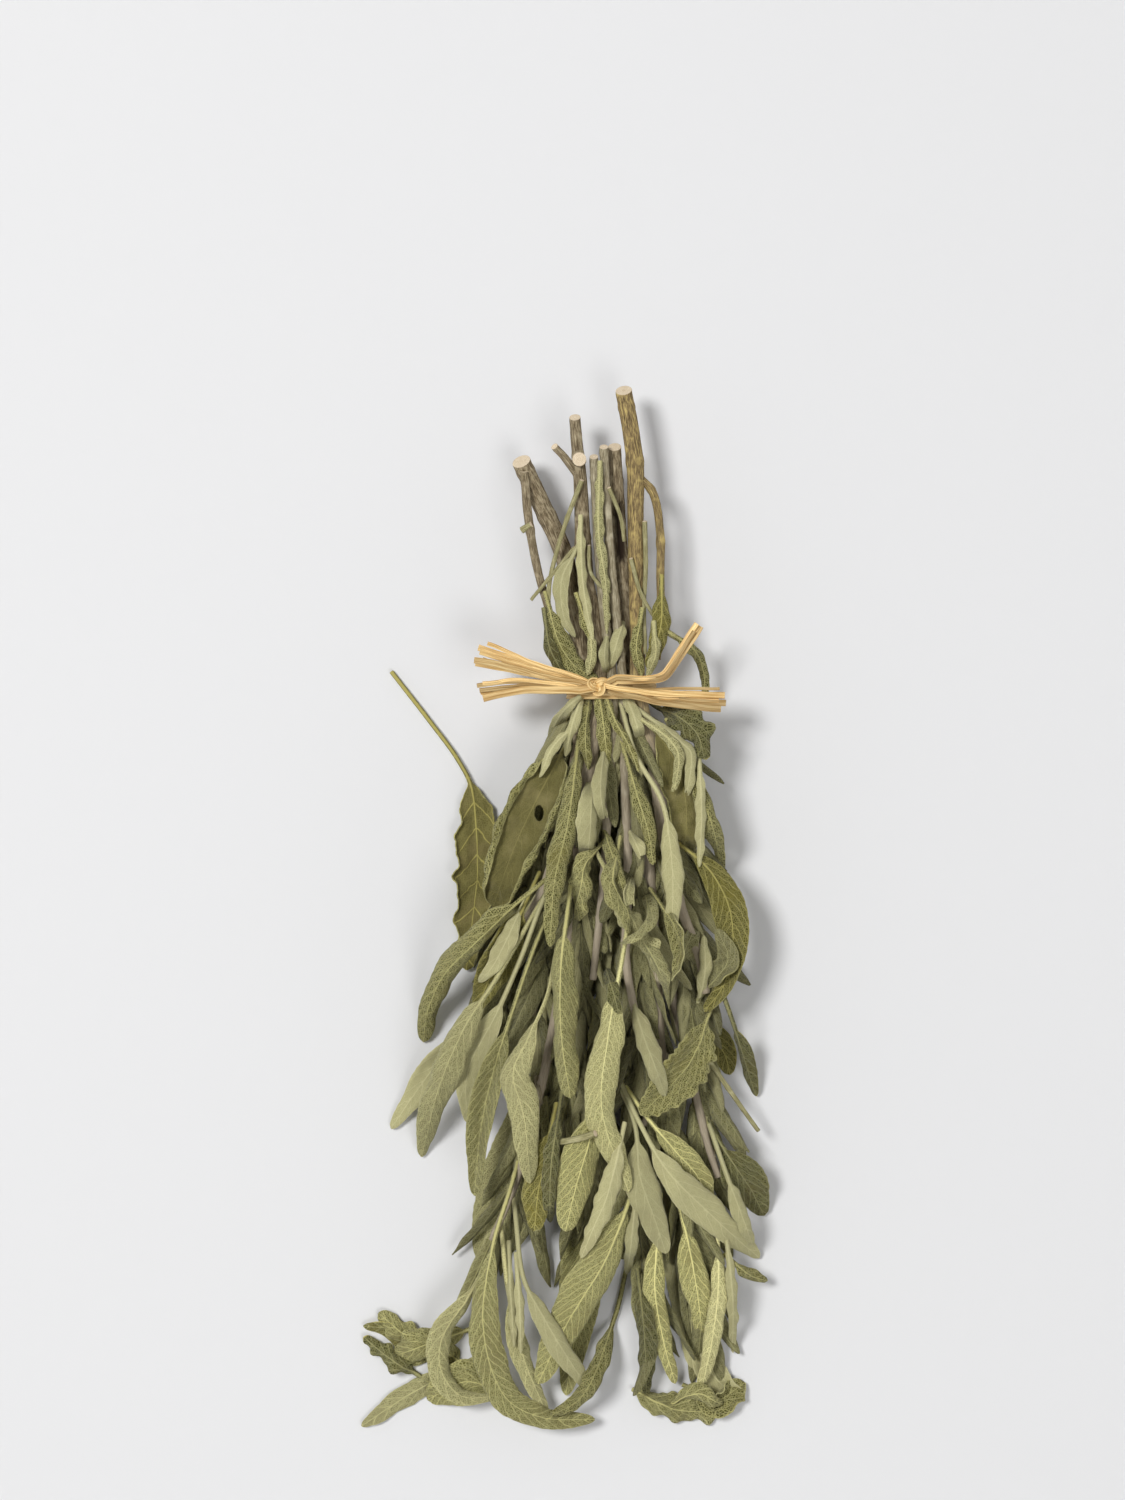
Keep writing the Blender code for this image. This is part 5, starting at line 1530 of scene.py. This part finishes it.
# %% Leaves on the table at the tips
FLOOR_LEAVES = [
    small("floor_leaf_left_dark", [(-36.9, -134.3), (-45.9, -130.8), (-56.4, -122.9)], 9, "light",
          crumple=1.2, ripple=0.6, wave=9, taper=0.6),
    small("floor_leaf_left_broad", [(-31.3, -138.3), (-40.4, -131.8), (-51.8, -136.3)], 13, "light",
          crumple=0.9, ripple=0.8, wave=8, taper=0.55),
    small("floor_leaf_left_end", [(-44.4, -141.8), (-54.9, -134.8), (-61.0, -130.3)], 6.5, "dark",
          crumple=1.0, ripple=0.7, tone=1.3, wave=7),
    small("floor_leaf_left_big", [(-17.9, -148.3), (-29.4, -143.3), (-41.4, -149.3)], 14, "light",
          crumple=0.8, curl=50, taper=0.6),
    small("floor_leaf_right_dark", [(21.2, -146.3), (33.6, -151.8), (48.1, -153.3)], 9.5, "light",
          tone=0.85, foot=0, crumple=1.6, ripple=0.8, wave=9, taper=0.6),
    small("floor_leaf_right_cup", [(40.1, -146.3), (47.1, -149.3), (55.6, -144.3)], 11, "pebbled",
          crumple=1.5, curl=190, ripple=0.8, wave=9, taper=0.6),
    small("floor_leaf_right_bit", [(33.1, -150.3), (41.1, -146.3), (48.6, -150.3)], 7, "light",
          crumple=0.9, twist=(40, -20)),
]
add_small_leaves(FLOOR_LEAVES, "floor")

# %% [markdown]
# Bare twigs show in the gaps between the front leaves. They are made before those leaves, so that
# the leaves lie over them.

# %% Twigs in the gaps between the front leaves
make_twigs("middle_twigs_bark", [
    [(-1.6, 14.4, 2.2), (-9.8, -3.7, 2.1), (-17.1, -17.7, 1.9), (-23.5, -36.9, 1.5)],
    [(-5.5, -4, 2.0), (-9.0, -35.7, 2.0), (-6.5, -60.6, 1.7)],
    [(16.2, 4, 2.2), (18.2, -20, 2.2), (23.4, -41.7, 1.9)],
    [(25.4, 6, 2.6), (29.5, -28, 2.8), (33.0, -58, 2.4)],
    [(26.4, 39, 2.9), (28.4, 27, 2.9), (30.4, 12, 2.6)],
    [(39.5, -40, 2.0), (43.5, -56, 1.9), (45.5, -74, 1.6)]],
    young_bark, buried=3.0, Tone=1.05)

# %% [markdown]
# The front leaves are the face of the bunch. They are made from the outer and lower ones to those
# that lie on top, in the order in which the CAD model stacked them.

# %% The front leaves
# Tones above 1, on the central big leaf and the lower leaves, lighten them: painted light, for the
# brighter light on the lower end of the bunch.
FRONT_LEAVES = [
    leaf("loose_leaf_long_stalk", [(-52.5, 73.2), (-40.2, 57.3), (-32.0, 46), (-27.6, 36),
         (-26.1, 13.8), (-27.3, 0), (-29.5, -18)], 15, "smooth", stalk=0.42, fold=8, curl=25,
         sway=12, foot=0, hem=60, pitch=8, crumple=0.85, ripple=0.75, wave=12, teeth=0.05),
    leaf("right_edge_leaf_back", [(25.5, 58), (33.5, 46), (37, 32), (36, 15)], 14, "cupped", curl=40,
         stalk=0.1, hem=60, crumple=1.0),
    leaf("right_edge_leaf_narrow", [(34, 52), (41, 36), (45.5, 24), (48.6, 10)], 6.5, "pebbled",
         curl=-110),
    leaf("right_arc_leaf", [(35, 21), (43.6, 13.5), (49.5, 3.0), (51.2, -9), (48.5, -21),
         (42.6, -29.4)], 10.5, "yellow", stalk=0.08, curl=50),
    leaf("right_low_olive_leaf", [(43.5, -63), (51, -75), (57, -84), (61.5, -93)], 13, "dark", curl=40,
         stalk=0.3),
    leaf("right_dark_cup_leaf", [(43.0, -33), (46.5, -39), (49.5, -44), (51, -50)], 9.5, "yellow",
         curl=90, stalk=0.1),
    leaf("right_small_rolled_leaf", [(48.0, -24), (51.6, -33.9), (54.8, -43.2), (59.1, -56.5)], 6.5,
         "dark", stalk=0.35, curl=-80, twist=(0, 40)),
    leaf("lower_left_outer_leaf", [(-33, -140), (-44, -146), (-52, -151), (-61.5, -157.5)], 7.5,
         "pale net", curl=-30, stalk=0.05, tone=1.08),
    leaf("lower_left_olive_leaf", [(-29, -128), (-37, -131), (-44, -135.5), (-50, -138.5)], 9, "light",
         curl=-40, stalk=0.05),
    leaf("lower_left_end_leaf", [(-41.5, -137), (-48, -132), (-54, -127.5), (-61, -127)], 6, "dark",
         curl=90, stalk=0.05, tone=1.5, crumple=0.8),
    leaf("cup_leaf_low_right", [(40, -131), (44, -139), (49, -145), (55, -148)], 9.5, "pale", curl=90,
         stalk=0.1),
    leaf("left_cupped_leaf", [(0.5, 50), (-7.0, 36), (-14.5, 20), (-21.0, 2)], 23, "cupped", stalk=0.06,
         curl=100, fold=-5, hem=215, sway=12, taper=0.6, crumple=1.0, holes=[(-7.2, 30.3, 1.4, 2.5)],
         hem_from=0.62, teeth=0.015),
    leaf("left_olive_leaf", [(-10.0, 6.0), (-16.5, -8), (-21.5, -18), (-26.0, -29)], 12, "yellow",
         curl=60, stalk=0.15),
    leaf("left_pale_leaf_back", [(-27, -32), (-36, -43), (-44, -54), (-52.5, -66.5)], 8.5, "pale",
         curl=20, stalk=0.15, root=(-20, -20)),
    leaf("left_beige_leaf", [(-6.6, 2.7), (-13, -14), (-20.0, -30), (-28.5, -47), (-28.8, -63)], 8.5,
         "pale", curl=60, stalk=0.45, root=(-1, 14), tone=0.88),
    leaf("left_rolled_leaf", [(-4.0, 11.5), (-14.7, 3.0), (-26, -8), (-35.5, -18), (-41, -30),
         (-42.6, -40)], 14, "pebbled", stalk=0.2, curl=-230),
    leaf("left_sprig_leaf_long", [(-12.3, -6), (-20.5, -20), (-29.5, -34), (-37.2, -52), (-43.2, -75)],
         12.5, "pale net", stalk=0.3, curl=-130, root=(-4, 8), tone=0.9),
    leaf("left_sprig_leaf_folded", [(-9.5, -12), (-15.5, -30), (-20.5, -46), (-24.5, -64),
         (-26.6, -85)], 10.5, "light", stalk=0.32, fold=38, curl=20, twist=(20, 20), root=(-3, 4)),
    leaf("yellow_leaf_low_left", [(-3.5, -64), (-5.5, -74), (-7.5, -84), (-8.5, -95)], 12.5, "yellow",
         stalk=0.06, curl=-60),
    leaf("middle_low_broad_leaf", [(11.0, -56), (7.5, -68), (4.0, -80), (0.8, -95)], 14.5, "light",
         stalk=0.08, curl=-60, tone=1.1),
    leaf("left_wavy_leaf", [(-4.5, -24), (-10, -36), (-14.6, -47), (-11.5, -60), (-9.9, -80)], 11.5,
         "pale net", stalk=0.14, curl=-60, twist=(50, -25), root=(-2, -12)),
    leaf("lower_left_pale_back_leaf", [(-18.0, -101), (-16.5, -114), (-12.5, -133), (-5.0, -153)], 7.5,
         "pale net", stalk=0.3, curl=-60, tone=1.08),
    leaf("lower_left_arc_leaf", [(-24, -108), (-30, -118), (-36.5, -128.5), (-37, -139), (-31, -147),
         (-21, -147.5)], 9, "pale net", stalk=0.12, curl=-90, twist=(0, -30), tone=1.08),
    leaf("bright_midrib_leaf", [(20.5, -84), (12.5, -104), (1.5, -123), (-7.5, -142.5)], 15.5, "light",
         stalk=0.08, curl=-80, rib=0.5, tone=1.1),
    leaf("lower_left_long_leaf", [(-15.6, -82), (-21.0, -100), (-24.0, -124), (-18.5, -145),
         (-7, -153), (9.6, -154.5)], 11, "light", stalk=0.2, curl=-70, fold=12, tone=1.08),
    leaf("lower_left_pale_leaf", [(-14.2, -92), (-12.0, -109), (-6, -121), (8.4, -146)], 8, "pale",
         stalk=0.36, curl=-80),
    leaf("lower_right_green_leaf", [(36, -92), (39.0, -106), (41, -117), (42.6, -130)], 10, "light",
         stalk=0.1, curl=-60, tone=1.4),
    leaf("lower_right_edge_leaf", [(46.5, -94), (47.0, -112), (45.0, -131), (41.2, -150)], 7,
         "pale net", stalk=0.15, curl=-110, tone=1.4),
    leaf("lower_right_long_leaf", [(29, -92), (27.6, -112), (30, -128), (34.2, -144)], 8.5, "light",
         stalk=0.1, curl=-90, tone=1.4),
    leaf("lower_right_sprig_leaf_green", [(24.6, -60), (33, -70), (40.5, -79), (45.5, -90)], 9,
         "light", stalk=0.15, curl=-70, root=(18, -51), sunk=13, tone=1.4),
    leaf("lower_right_sprig_leaf_pale", [(21.6, -63), (23.0, -78), (27, -90), (31, -102)], 11, "pale",
         stalk=0.12, curl=-40, root=(17, -52), sunk=13),
    leaf("lower_right_sprig_leaf_long", [(22.8, -62), (31, -76), (44, -90), (60, -106)], 11, "pale",
         stalk=0.15, curl=-50, root=(17.5, -51), sunk=13),
    leaf("right_toothed_leaf", [(43.6, -31), (38.5, -43), (31, -52), (23.2, -59.5)], 16, "pebbled",
         stalk=0.06, curl=60, crumple=0.6, twist=(-20, -20), teeth=0.12, ripple=0.6, wave=5.4),
    leaf("middle_folded_leaf", [(1.5, 2), (-0.5, -14), (-0.5, -34), (2.2, -54.5)], 15, "light",
         stalk=0.14, fold=-42, curl=-70, sway=80),
    leaf("upper_left_pebbled_leaf", [(4.5, 51), (1.6, 28), (-2.5, 10), (-3.8, -9)], 9, "pebbled",
         stalk=0.08, curl=-120),
    leaf("upper_right_pebbled_leaf", [(19.2, 46), (22.6, 34), (25.4, 25), (26.9, 15)], 6.5, "pebbled",
         stalk=0.1, curl=-120),
    leaf("right_crumpled_leaf", [(29.0, 62), (35.0, 59), (40.5, 53.5), (42.5, 46.5)], 10.5, "dark",
         stalk=0.05, curl=-60, crumple=1.3, ripple=1.4, wave=7, root=(24, 66)),
    leaf("middle_curled_leaf", [(12.6, 14), (18.6, 2.5), (24.5, -9), (31.0, -23)], 8, "pale net",
         stalk=0.08, curl=-120, crumple=0.9, ripple=0.9, wave=9, sway=110),
    leaf("central_big_leaf", [(18.0, -11), (13.4, -36), (11.6, -58), (19.6, -82.5)], 12.5, "under",
         stalk=0.16, curl=-110, tone=1.35),
    leaf("right_long_pale_leaf", [(18.0, 61), (21.5, 48), (29.4, 34), (32.1, 20), (32.8, 8),
         (32.4, -6)], 7.5, "pale", stalk=0.5, curl=-90),
]

dress_leaves(FRONT_LEAVES)
print("Front leaves:", len(FRONT_LEAVES))

# %% [markdown]
# Last come the thin shoots beside the stems and the small leaves of the neck and the crown. Those
# in the neck are held up by stems that the pile does not know as solid, so their two ends have a
# least height.

# %% Twigs and small leaves on top
make_twigs("neck_twigs_bark", [
    [(5.7, 130.2, 19.4, 1.5), (0.6, 116.7, 18.6, 1.4), (-3.9, 100.2, 19.2, 1.3),
     (-4.2, 89.7, 18.8, 1.2)],
    [(3.6, 110, 19.4, 1.3), (-3.3, 101.7, 19.6, 1.2), (-9.6, 94.2, 18.8, 1.0)],
    [(7.8, 110.7, 19.0, 1.1), (8.1, 103.2, 19.1, 1.1), (11.1, 98.7, 19.0, 1.0),
     (14.4, 96.6, 18.9, 0.9)],
    [(20.4, 106.7, 19.0, 1.3), (23.7, 95.7, 19.0, 1.2), (30.6, 85.2, 18.6, 1.1),
     (35.9, 81.7, 17.2, 1.1)],
    [(13.8, 128, 19.0, 1.3), (17.4, 119, 18.4, 1.2), (18.4, 112, 17.2, 1.1)],
    [(24.6, 118, 17.4, 1.5), (24.9, 104, 17.6, 1.4), (24.4, 92, 17.6, 1.3), (24.8, 78, 17.4, 1.2)],
    [(-9.4, 117.0, 18.8, 1.8), (-12.4, 115.2, 18.0, 2.1)]], straw_bark)
make_twigs("side_twigs_bark", [
    [(9.6, -64.6, 2.0), (6.0, -65.9, 2.0), (-0.6, -67.4, 1.9)]], straw_bark)
make_twigs("far_twigs_bark", [
    [(43.0, -43.0, 15.0, 1.6), (54.0, -58.8, 11.0, 1.4), (59.3, -66.3, 9.0, 1.3)]], straw_bark)

SMALL_LEAVES = [
    small("pale_cut_leaf", [(21, -26), (24, -36), (27, -44), (30.5, -54)], 7.5),
    small("right_stalked_leaf", [(43.5, -62), (49, -78), (53.5, -90), (57.5, -101)], 6, stalk=0.5),
    small("upper_middle_grey_leaf", [(9.8, 44), (8.5, 34), (7.8, 24), (7, 11)], 8.5, twist=(10, -40)),
    small("lower_right_olive_leaf", [(23, -112), (24.4, -124), (25.2, -136), (25.4, -147)], 8, "dark"),
    small("fork_leaf_low_middle", [(17.5, -66), (13, -84), (9, -94), (5.5, -103)], 7.5),
    small("leaf_above_tie", [(-4.4, 93), (-1.4, 82), (3.4, 74.6), (10.4, 70.4)], 8, "pebbled", curl=-60,
          held=(18.5, 19.0), sunk=1),
    small("leaf_above_tie_dark", [(-5.2, 88), (-4.0, 80), (-1.0, 74), (2.0, 70.0)], 4, "dark", curl=-60,
          held=(15.0, 16.0), sunk=1),
    small("neck_leaf_narrow", [(5.1, 92.7), (7.0, 87), (9, 81.3)], 3.8, "pebbled", held=(20.0, 19.5),
          sunk=0.5),
    small("neck_leaf_pale_left", [(3.6, 108.6), (-0.3, 100.2), (0.3, 89.7), (3.6, 83.2)], 5.5, curl=60,
          held=(18.5, 17.5), sunk=1),
    small("neck_leaf_pale_right", [(18.3, 88.2), (16.0, 81), (14.1, 73.8)], 5),
    small("neck_leaf_yellow", [(29.6, 98), (29.2, 86), (25.5, 73.5)], 7, "yellow", held=(18.0, 18.5),
          sunk=0),
    small("neck_strap_left", [(11.1, 136), (10.7, 115), (12.9, 98), (13.2, 84)], 3.2, "pale net",
          held=(20.0, 19.0), taper=0.4, sunk=0, foot=0, stalk=0),
    small("neck_strap_middle", [(5.2, 119.7), (5.9, 100), (8.9, 82)], 3.4, held=(20.2, 19.4), taper=0.5,
          sunk=0, foot=0),
    small("under_tie_pebbled", [(10.8, 65.5), (12.3, 56), (13.5, 44.8)], 5.5, "pebbled", stalk=0,
          foot=0, taper=0.35),
    small("under_tie_pale_right", [(18.9, 65.5), (21.4, 59), (23.4, 51.5)], 4.6, stalk=0, foot=0,
          taper=0.35),
    small("under_tie_dark", [(8.0, 65.5), (6.6, 54), (7.6, 43.5)], 4.5, "pebbled", tone=0.8, stalk=0,
          foot=0, taper=0.4),
    small("under_tie_pale_left", [(5.6, 65.0), (2.6, 56), (0.8, 47.4)], 3.6, stalk=0, foot=0,
          taper=0.4),
    small("under_tie_outer", [(5.0, 65.2), (-0.1, 60.5), (-4.4, 53.6)], 3.4, stalk=0, foot=0,
          taper=0.5),
    small("under_tie_strip", [(12.8, 65.5), (15.5, 58), (19.4, 51), (22.6, 42.6)], 3.0, "pebbled",
          stalk=0, foot=0, taper=0.4),
    small("left_tuft_leaf", [(2.1, 55.2), (-3.0, 50), (-6.9, 41.1)], 3.5),
    small("blunt_pale_leaf", [(12.3, 49.5), (11.1, 37.2), (12.6, 26.8)], 5.5, broken=0.06),
    small("strap_leaf", [(24.3, 60), (35.4, 51.3), (38.4, 47.1), (36.6, 33)], 4.5, broken=0.08),
    small("second_strap_leaf", [(22.5, 59), (31.5, 52.5), (34.6, 46.5), (32.4, 34)], 3.6, "pale net",
          broken=0.08),
    small("broken_bit", [(20.0, 24.9), (22.8, 18.9), (24.0, 14.5)], 4.5, broken=0.2),
    small("twisted_yellow_leaf", [(11.1, 20.7), (6.5, 15.2), (5.4, 8), (2.7, -5.3)], 9.5, "light",
          curl=-170, twist=(-60, 100), crumple=0.9, ripple=0.5, wave=7),
    small("pebbled_middle_leaf", [(12.3, 25.4), (15, 17), (18, 7.3)], 5.5, "pebbled", curl=-120,
          twist=(-30, 40)),
    small("narrow_pale_leaf", [(40.8, 45), (41.3, 30), (40.8, 14.2)], 3.8),
    small("curled_tip_leaf", [(24.3, -8.2), (27.6, -13.8), (31.2, -23.3)], 7, "under", curl=-190,
          twist=(-30, 80), crumple=0.6),
    small("rosette_leaf_left", [(40, -24), (36.4, -13), (40.2, -2.6)], 9, "under", curl=150, tone=0.9,
          crumple=0.8),
    small("rosette_leaf_right", [(43, -23), (49.6, -14), (46.5, -4.5)], 8.5, "under", curl=150,
          tone=0.8, crumple=0.8),
    small("rosette_tip_low", [(41, -26), (42.5, -17), (42.4, -6.7)], 4.5),
    small("crown_curl_left", [(16.5, 19.5), (14.6, 10), (18.9, 1.5), (20.2, -8)], 8, "light", curl=-170,
          twist=(30, -60), crumple=0.9, sway=70, foot=7, sunk=11),
    small("crown_curl_middle", [(24.6, 8.5), (25.4, 0), (21.2, -5.5), (17.0, -8.5)], 7, "under",
          curl=-150, twist=(-20, 90), crumple=1.0, foot=6, sunk=10),
    small("crown_curl_right", [(29.5, 2.5), (33.8, -4), (35.0, -12), (32.1, -19)], 7, "pebbled",
          curl=130, twist=(10, 70), crumple=1.0, foot=6, sunk=10),
    small("crown_shred", [(21.0, 12.5), (19.2, 7.0), (20.7, 0.8)], 4, "pale net", curl=160,
          broken=0.12),
    small("small_olive_leaf", [(12.7, -15.9), (14.7, -21.9), (16.5, -29.0)], 5, "dark"),
    small("left_small_folded_leaf", [(-12.3, 2.1), (-20.4, -14.4), (-25.2, -20.3)], 6, fold=30),
    small("dark_curled_leaf", [(-1, -58), (-3.5, -74), (-4, -95)], 6, "dark"),
    small("low_strap_left", [(-16.2, -103.3), (-15.6, -116), (-14.7, -130.9)], 3),
    small("low_strap_right", [(-13.8, -106.3), (-13.0, -118), (-12.7, -132.9)], 3),
    small("low_grey_leaf", [(15.6, -124.8), (6, -145.8), (-3.6, -152.6)], 7, "pebbled", tone=0.9,
          root=(20.0, -106.0)),
    small("low_right_pale_leaf", [(49.5, -98.7), (51.2, -116), (51.9, -134.9)], 4.0),
    small("low_middle_grey_leaf", [(21.6, -86.5), (20.5, -98), (19.5, -110.6)], 4.5),
    small("neck_tuft_left", [(8.2, 84), (8.6, 78), (7.4, 71.6)], 3.6, "pale net", taper=0.5),
    small("neck_tuft_middle", [(13.2, 83.4), (12.4, 77), (13.4, 71.2)], 3.4, taper=0.5),
    small("neck_tuft_right", [(23.2, 88), (22.0, 80), (23.6, 71.4)], 4.2, "pebbled", taper=0.6,
          held=(19.5, 19.5), sunk=0.5),
    small("neck_tuft_outer", [(27.4, 84), (27.8, 78), (25.2, 71.4)], 3.6, "pale net", taper=0.5,
          held=(17.5, 18.5), sunk=0),
    small("tendril_leaf", [(33.0, 83.7), (39.6, 79.2), (42.6, 72.4), (43.0, 65.4)], 6, "pebbled",
          curl=-230, held=(17.0, 9.0), sunk=0),
    small("low_right_tip_leaf", [(51.9, -106), (57, -110), (62.1, -112.2)], 4.5, "pebbled",
          held=(8.0, 6.0)),
]
add_small_leaves(SMALL_LEAVES, "small")

# %% [markdown]
# ## The knot and the four ends
# The knot is a real overhand knot, which seen from above is a trefoil, squeezed to its size. The
# four ends start at it and spread over the front leaves, so they are made after them.

# %% Knot and raffia ends
KNOT_CENTRE = (10.5, 68.4, 23.7)


def knot_path(wide, deep, high, steps=90):
    """An overhand knot drawn as a trefoil."""
    t = np.linspace(0, 2 * math.pi, steps)
    x = (np.sin(t) + 2 * np.sin(2 * t)) / 3 * wide / 2
    y = (np.cos(t) - 2 * np.cos(2 * t)) / 3 * deep / 2
    return np.column_stack([x, y, -np.sin(3 * t) * high / 2]) + KNOT_CENTRE


def raffia_end(name, route, steps=46):
    """The path of a raffia end at the height of its CAD strip, from the knot outwards."""
    low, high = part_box(name)
    path = smooth_route(route, steps)
    ends = np.column_stack([path, np.full(steps, (low.z + high.z) / 2 / MM)])
    out = 1.6 * np.sign(path[0, 0] - KNOT_CENTRE[0])
    start = np.array(KNOT_CENTRE) + (out, 0, -0.4)
    lead = start + (ends[0] - start) * np.linspace(0, 1, 8)[:-1, None]
    return np.vstack([lead, ends])


make_raffia("raffia_knot", knot_path(5.2, 4.4, 2.4), Strands=3, Start_spread=0.45 * MM,
            End_spread=0.45 * MM, Strand_width=1.5 * MM, Stack=0.25 * MM, Wander=0.3 * MM,
            Uneven_ends=0.0, Seed=8)

RAFFIA_ENDS = [
    ("raffia_end_left_upper", [(5.0, 69.8), (-6, 72.5), (-17, 76), (-26, 78.6)], 6, 0.6, 3.6),
    ("raffia_end_left_lower", [(5.0, 67.6), (-6, 68.4), (-16, 68.2), (-26, 66.6)], 5, 0.5, 2.6),
    ("raffia_end_right_long", [(16.0, 67.2), (27, 65.6), (38, 65.0), (49.5, 64.4)], 6, 0.7, 3.0),
    ("raffia_end_right_short", [(16.0, 70.4), (24.0, 70.5), (29.8, 71.2), (32.8, 74.6), (36.6, 80.6),
         (40.6, 86.6)], 3, 0.4, 0.9),
]
for number, (name, route, strands, start, end) in enumerate(RAFFIA_ENDS):
    make_raffia(name, raffia_end(name, route), Strands=strands, Start_spread=start * MM,
                End_spread=end * MM, Strand_width=1.75 * MM, Stack=0.7 * MM, Wander=1.0 * MM,
                Uneven_ends=0.08, Seed=20 + number)
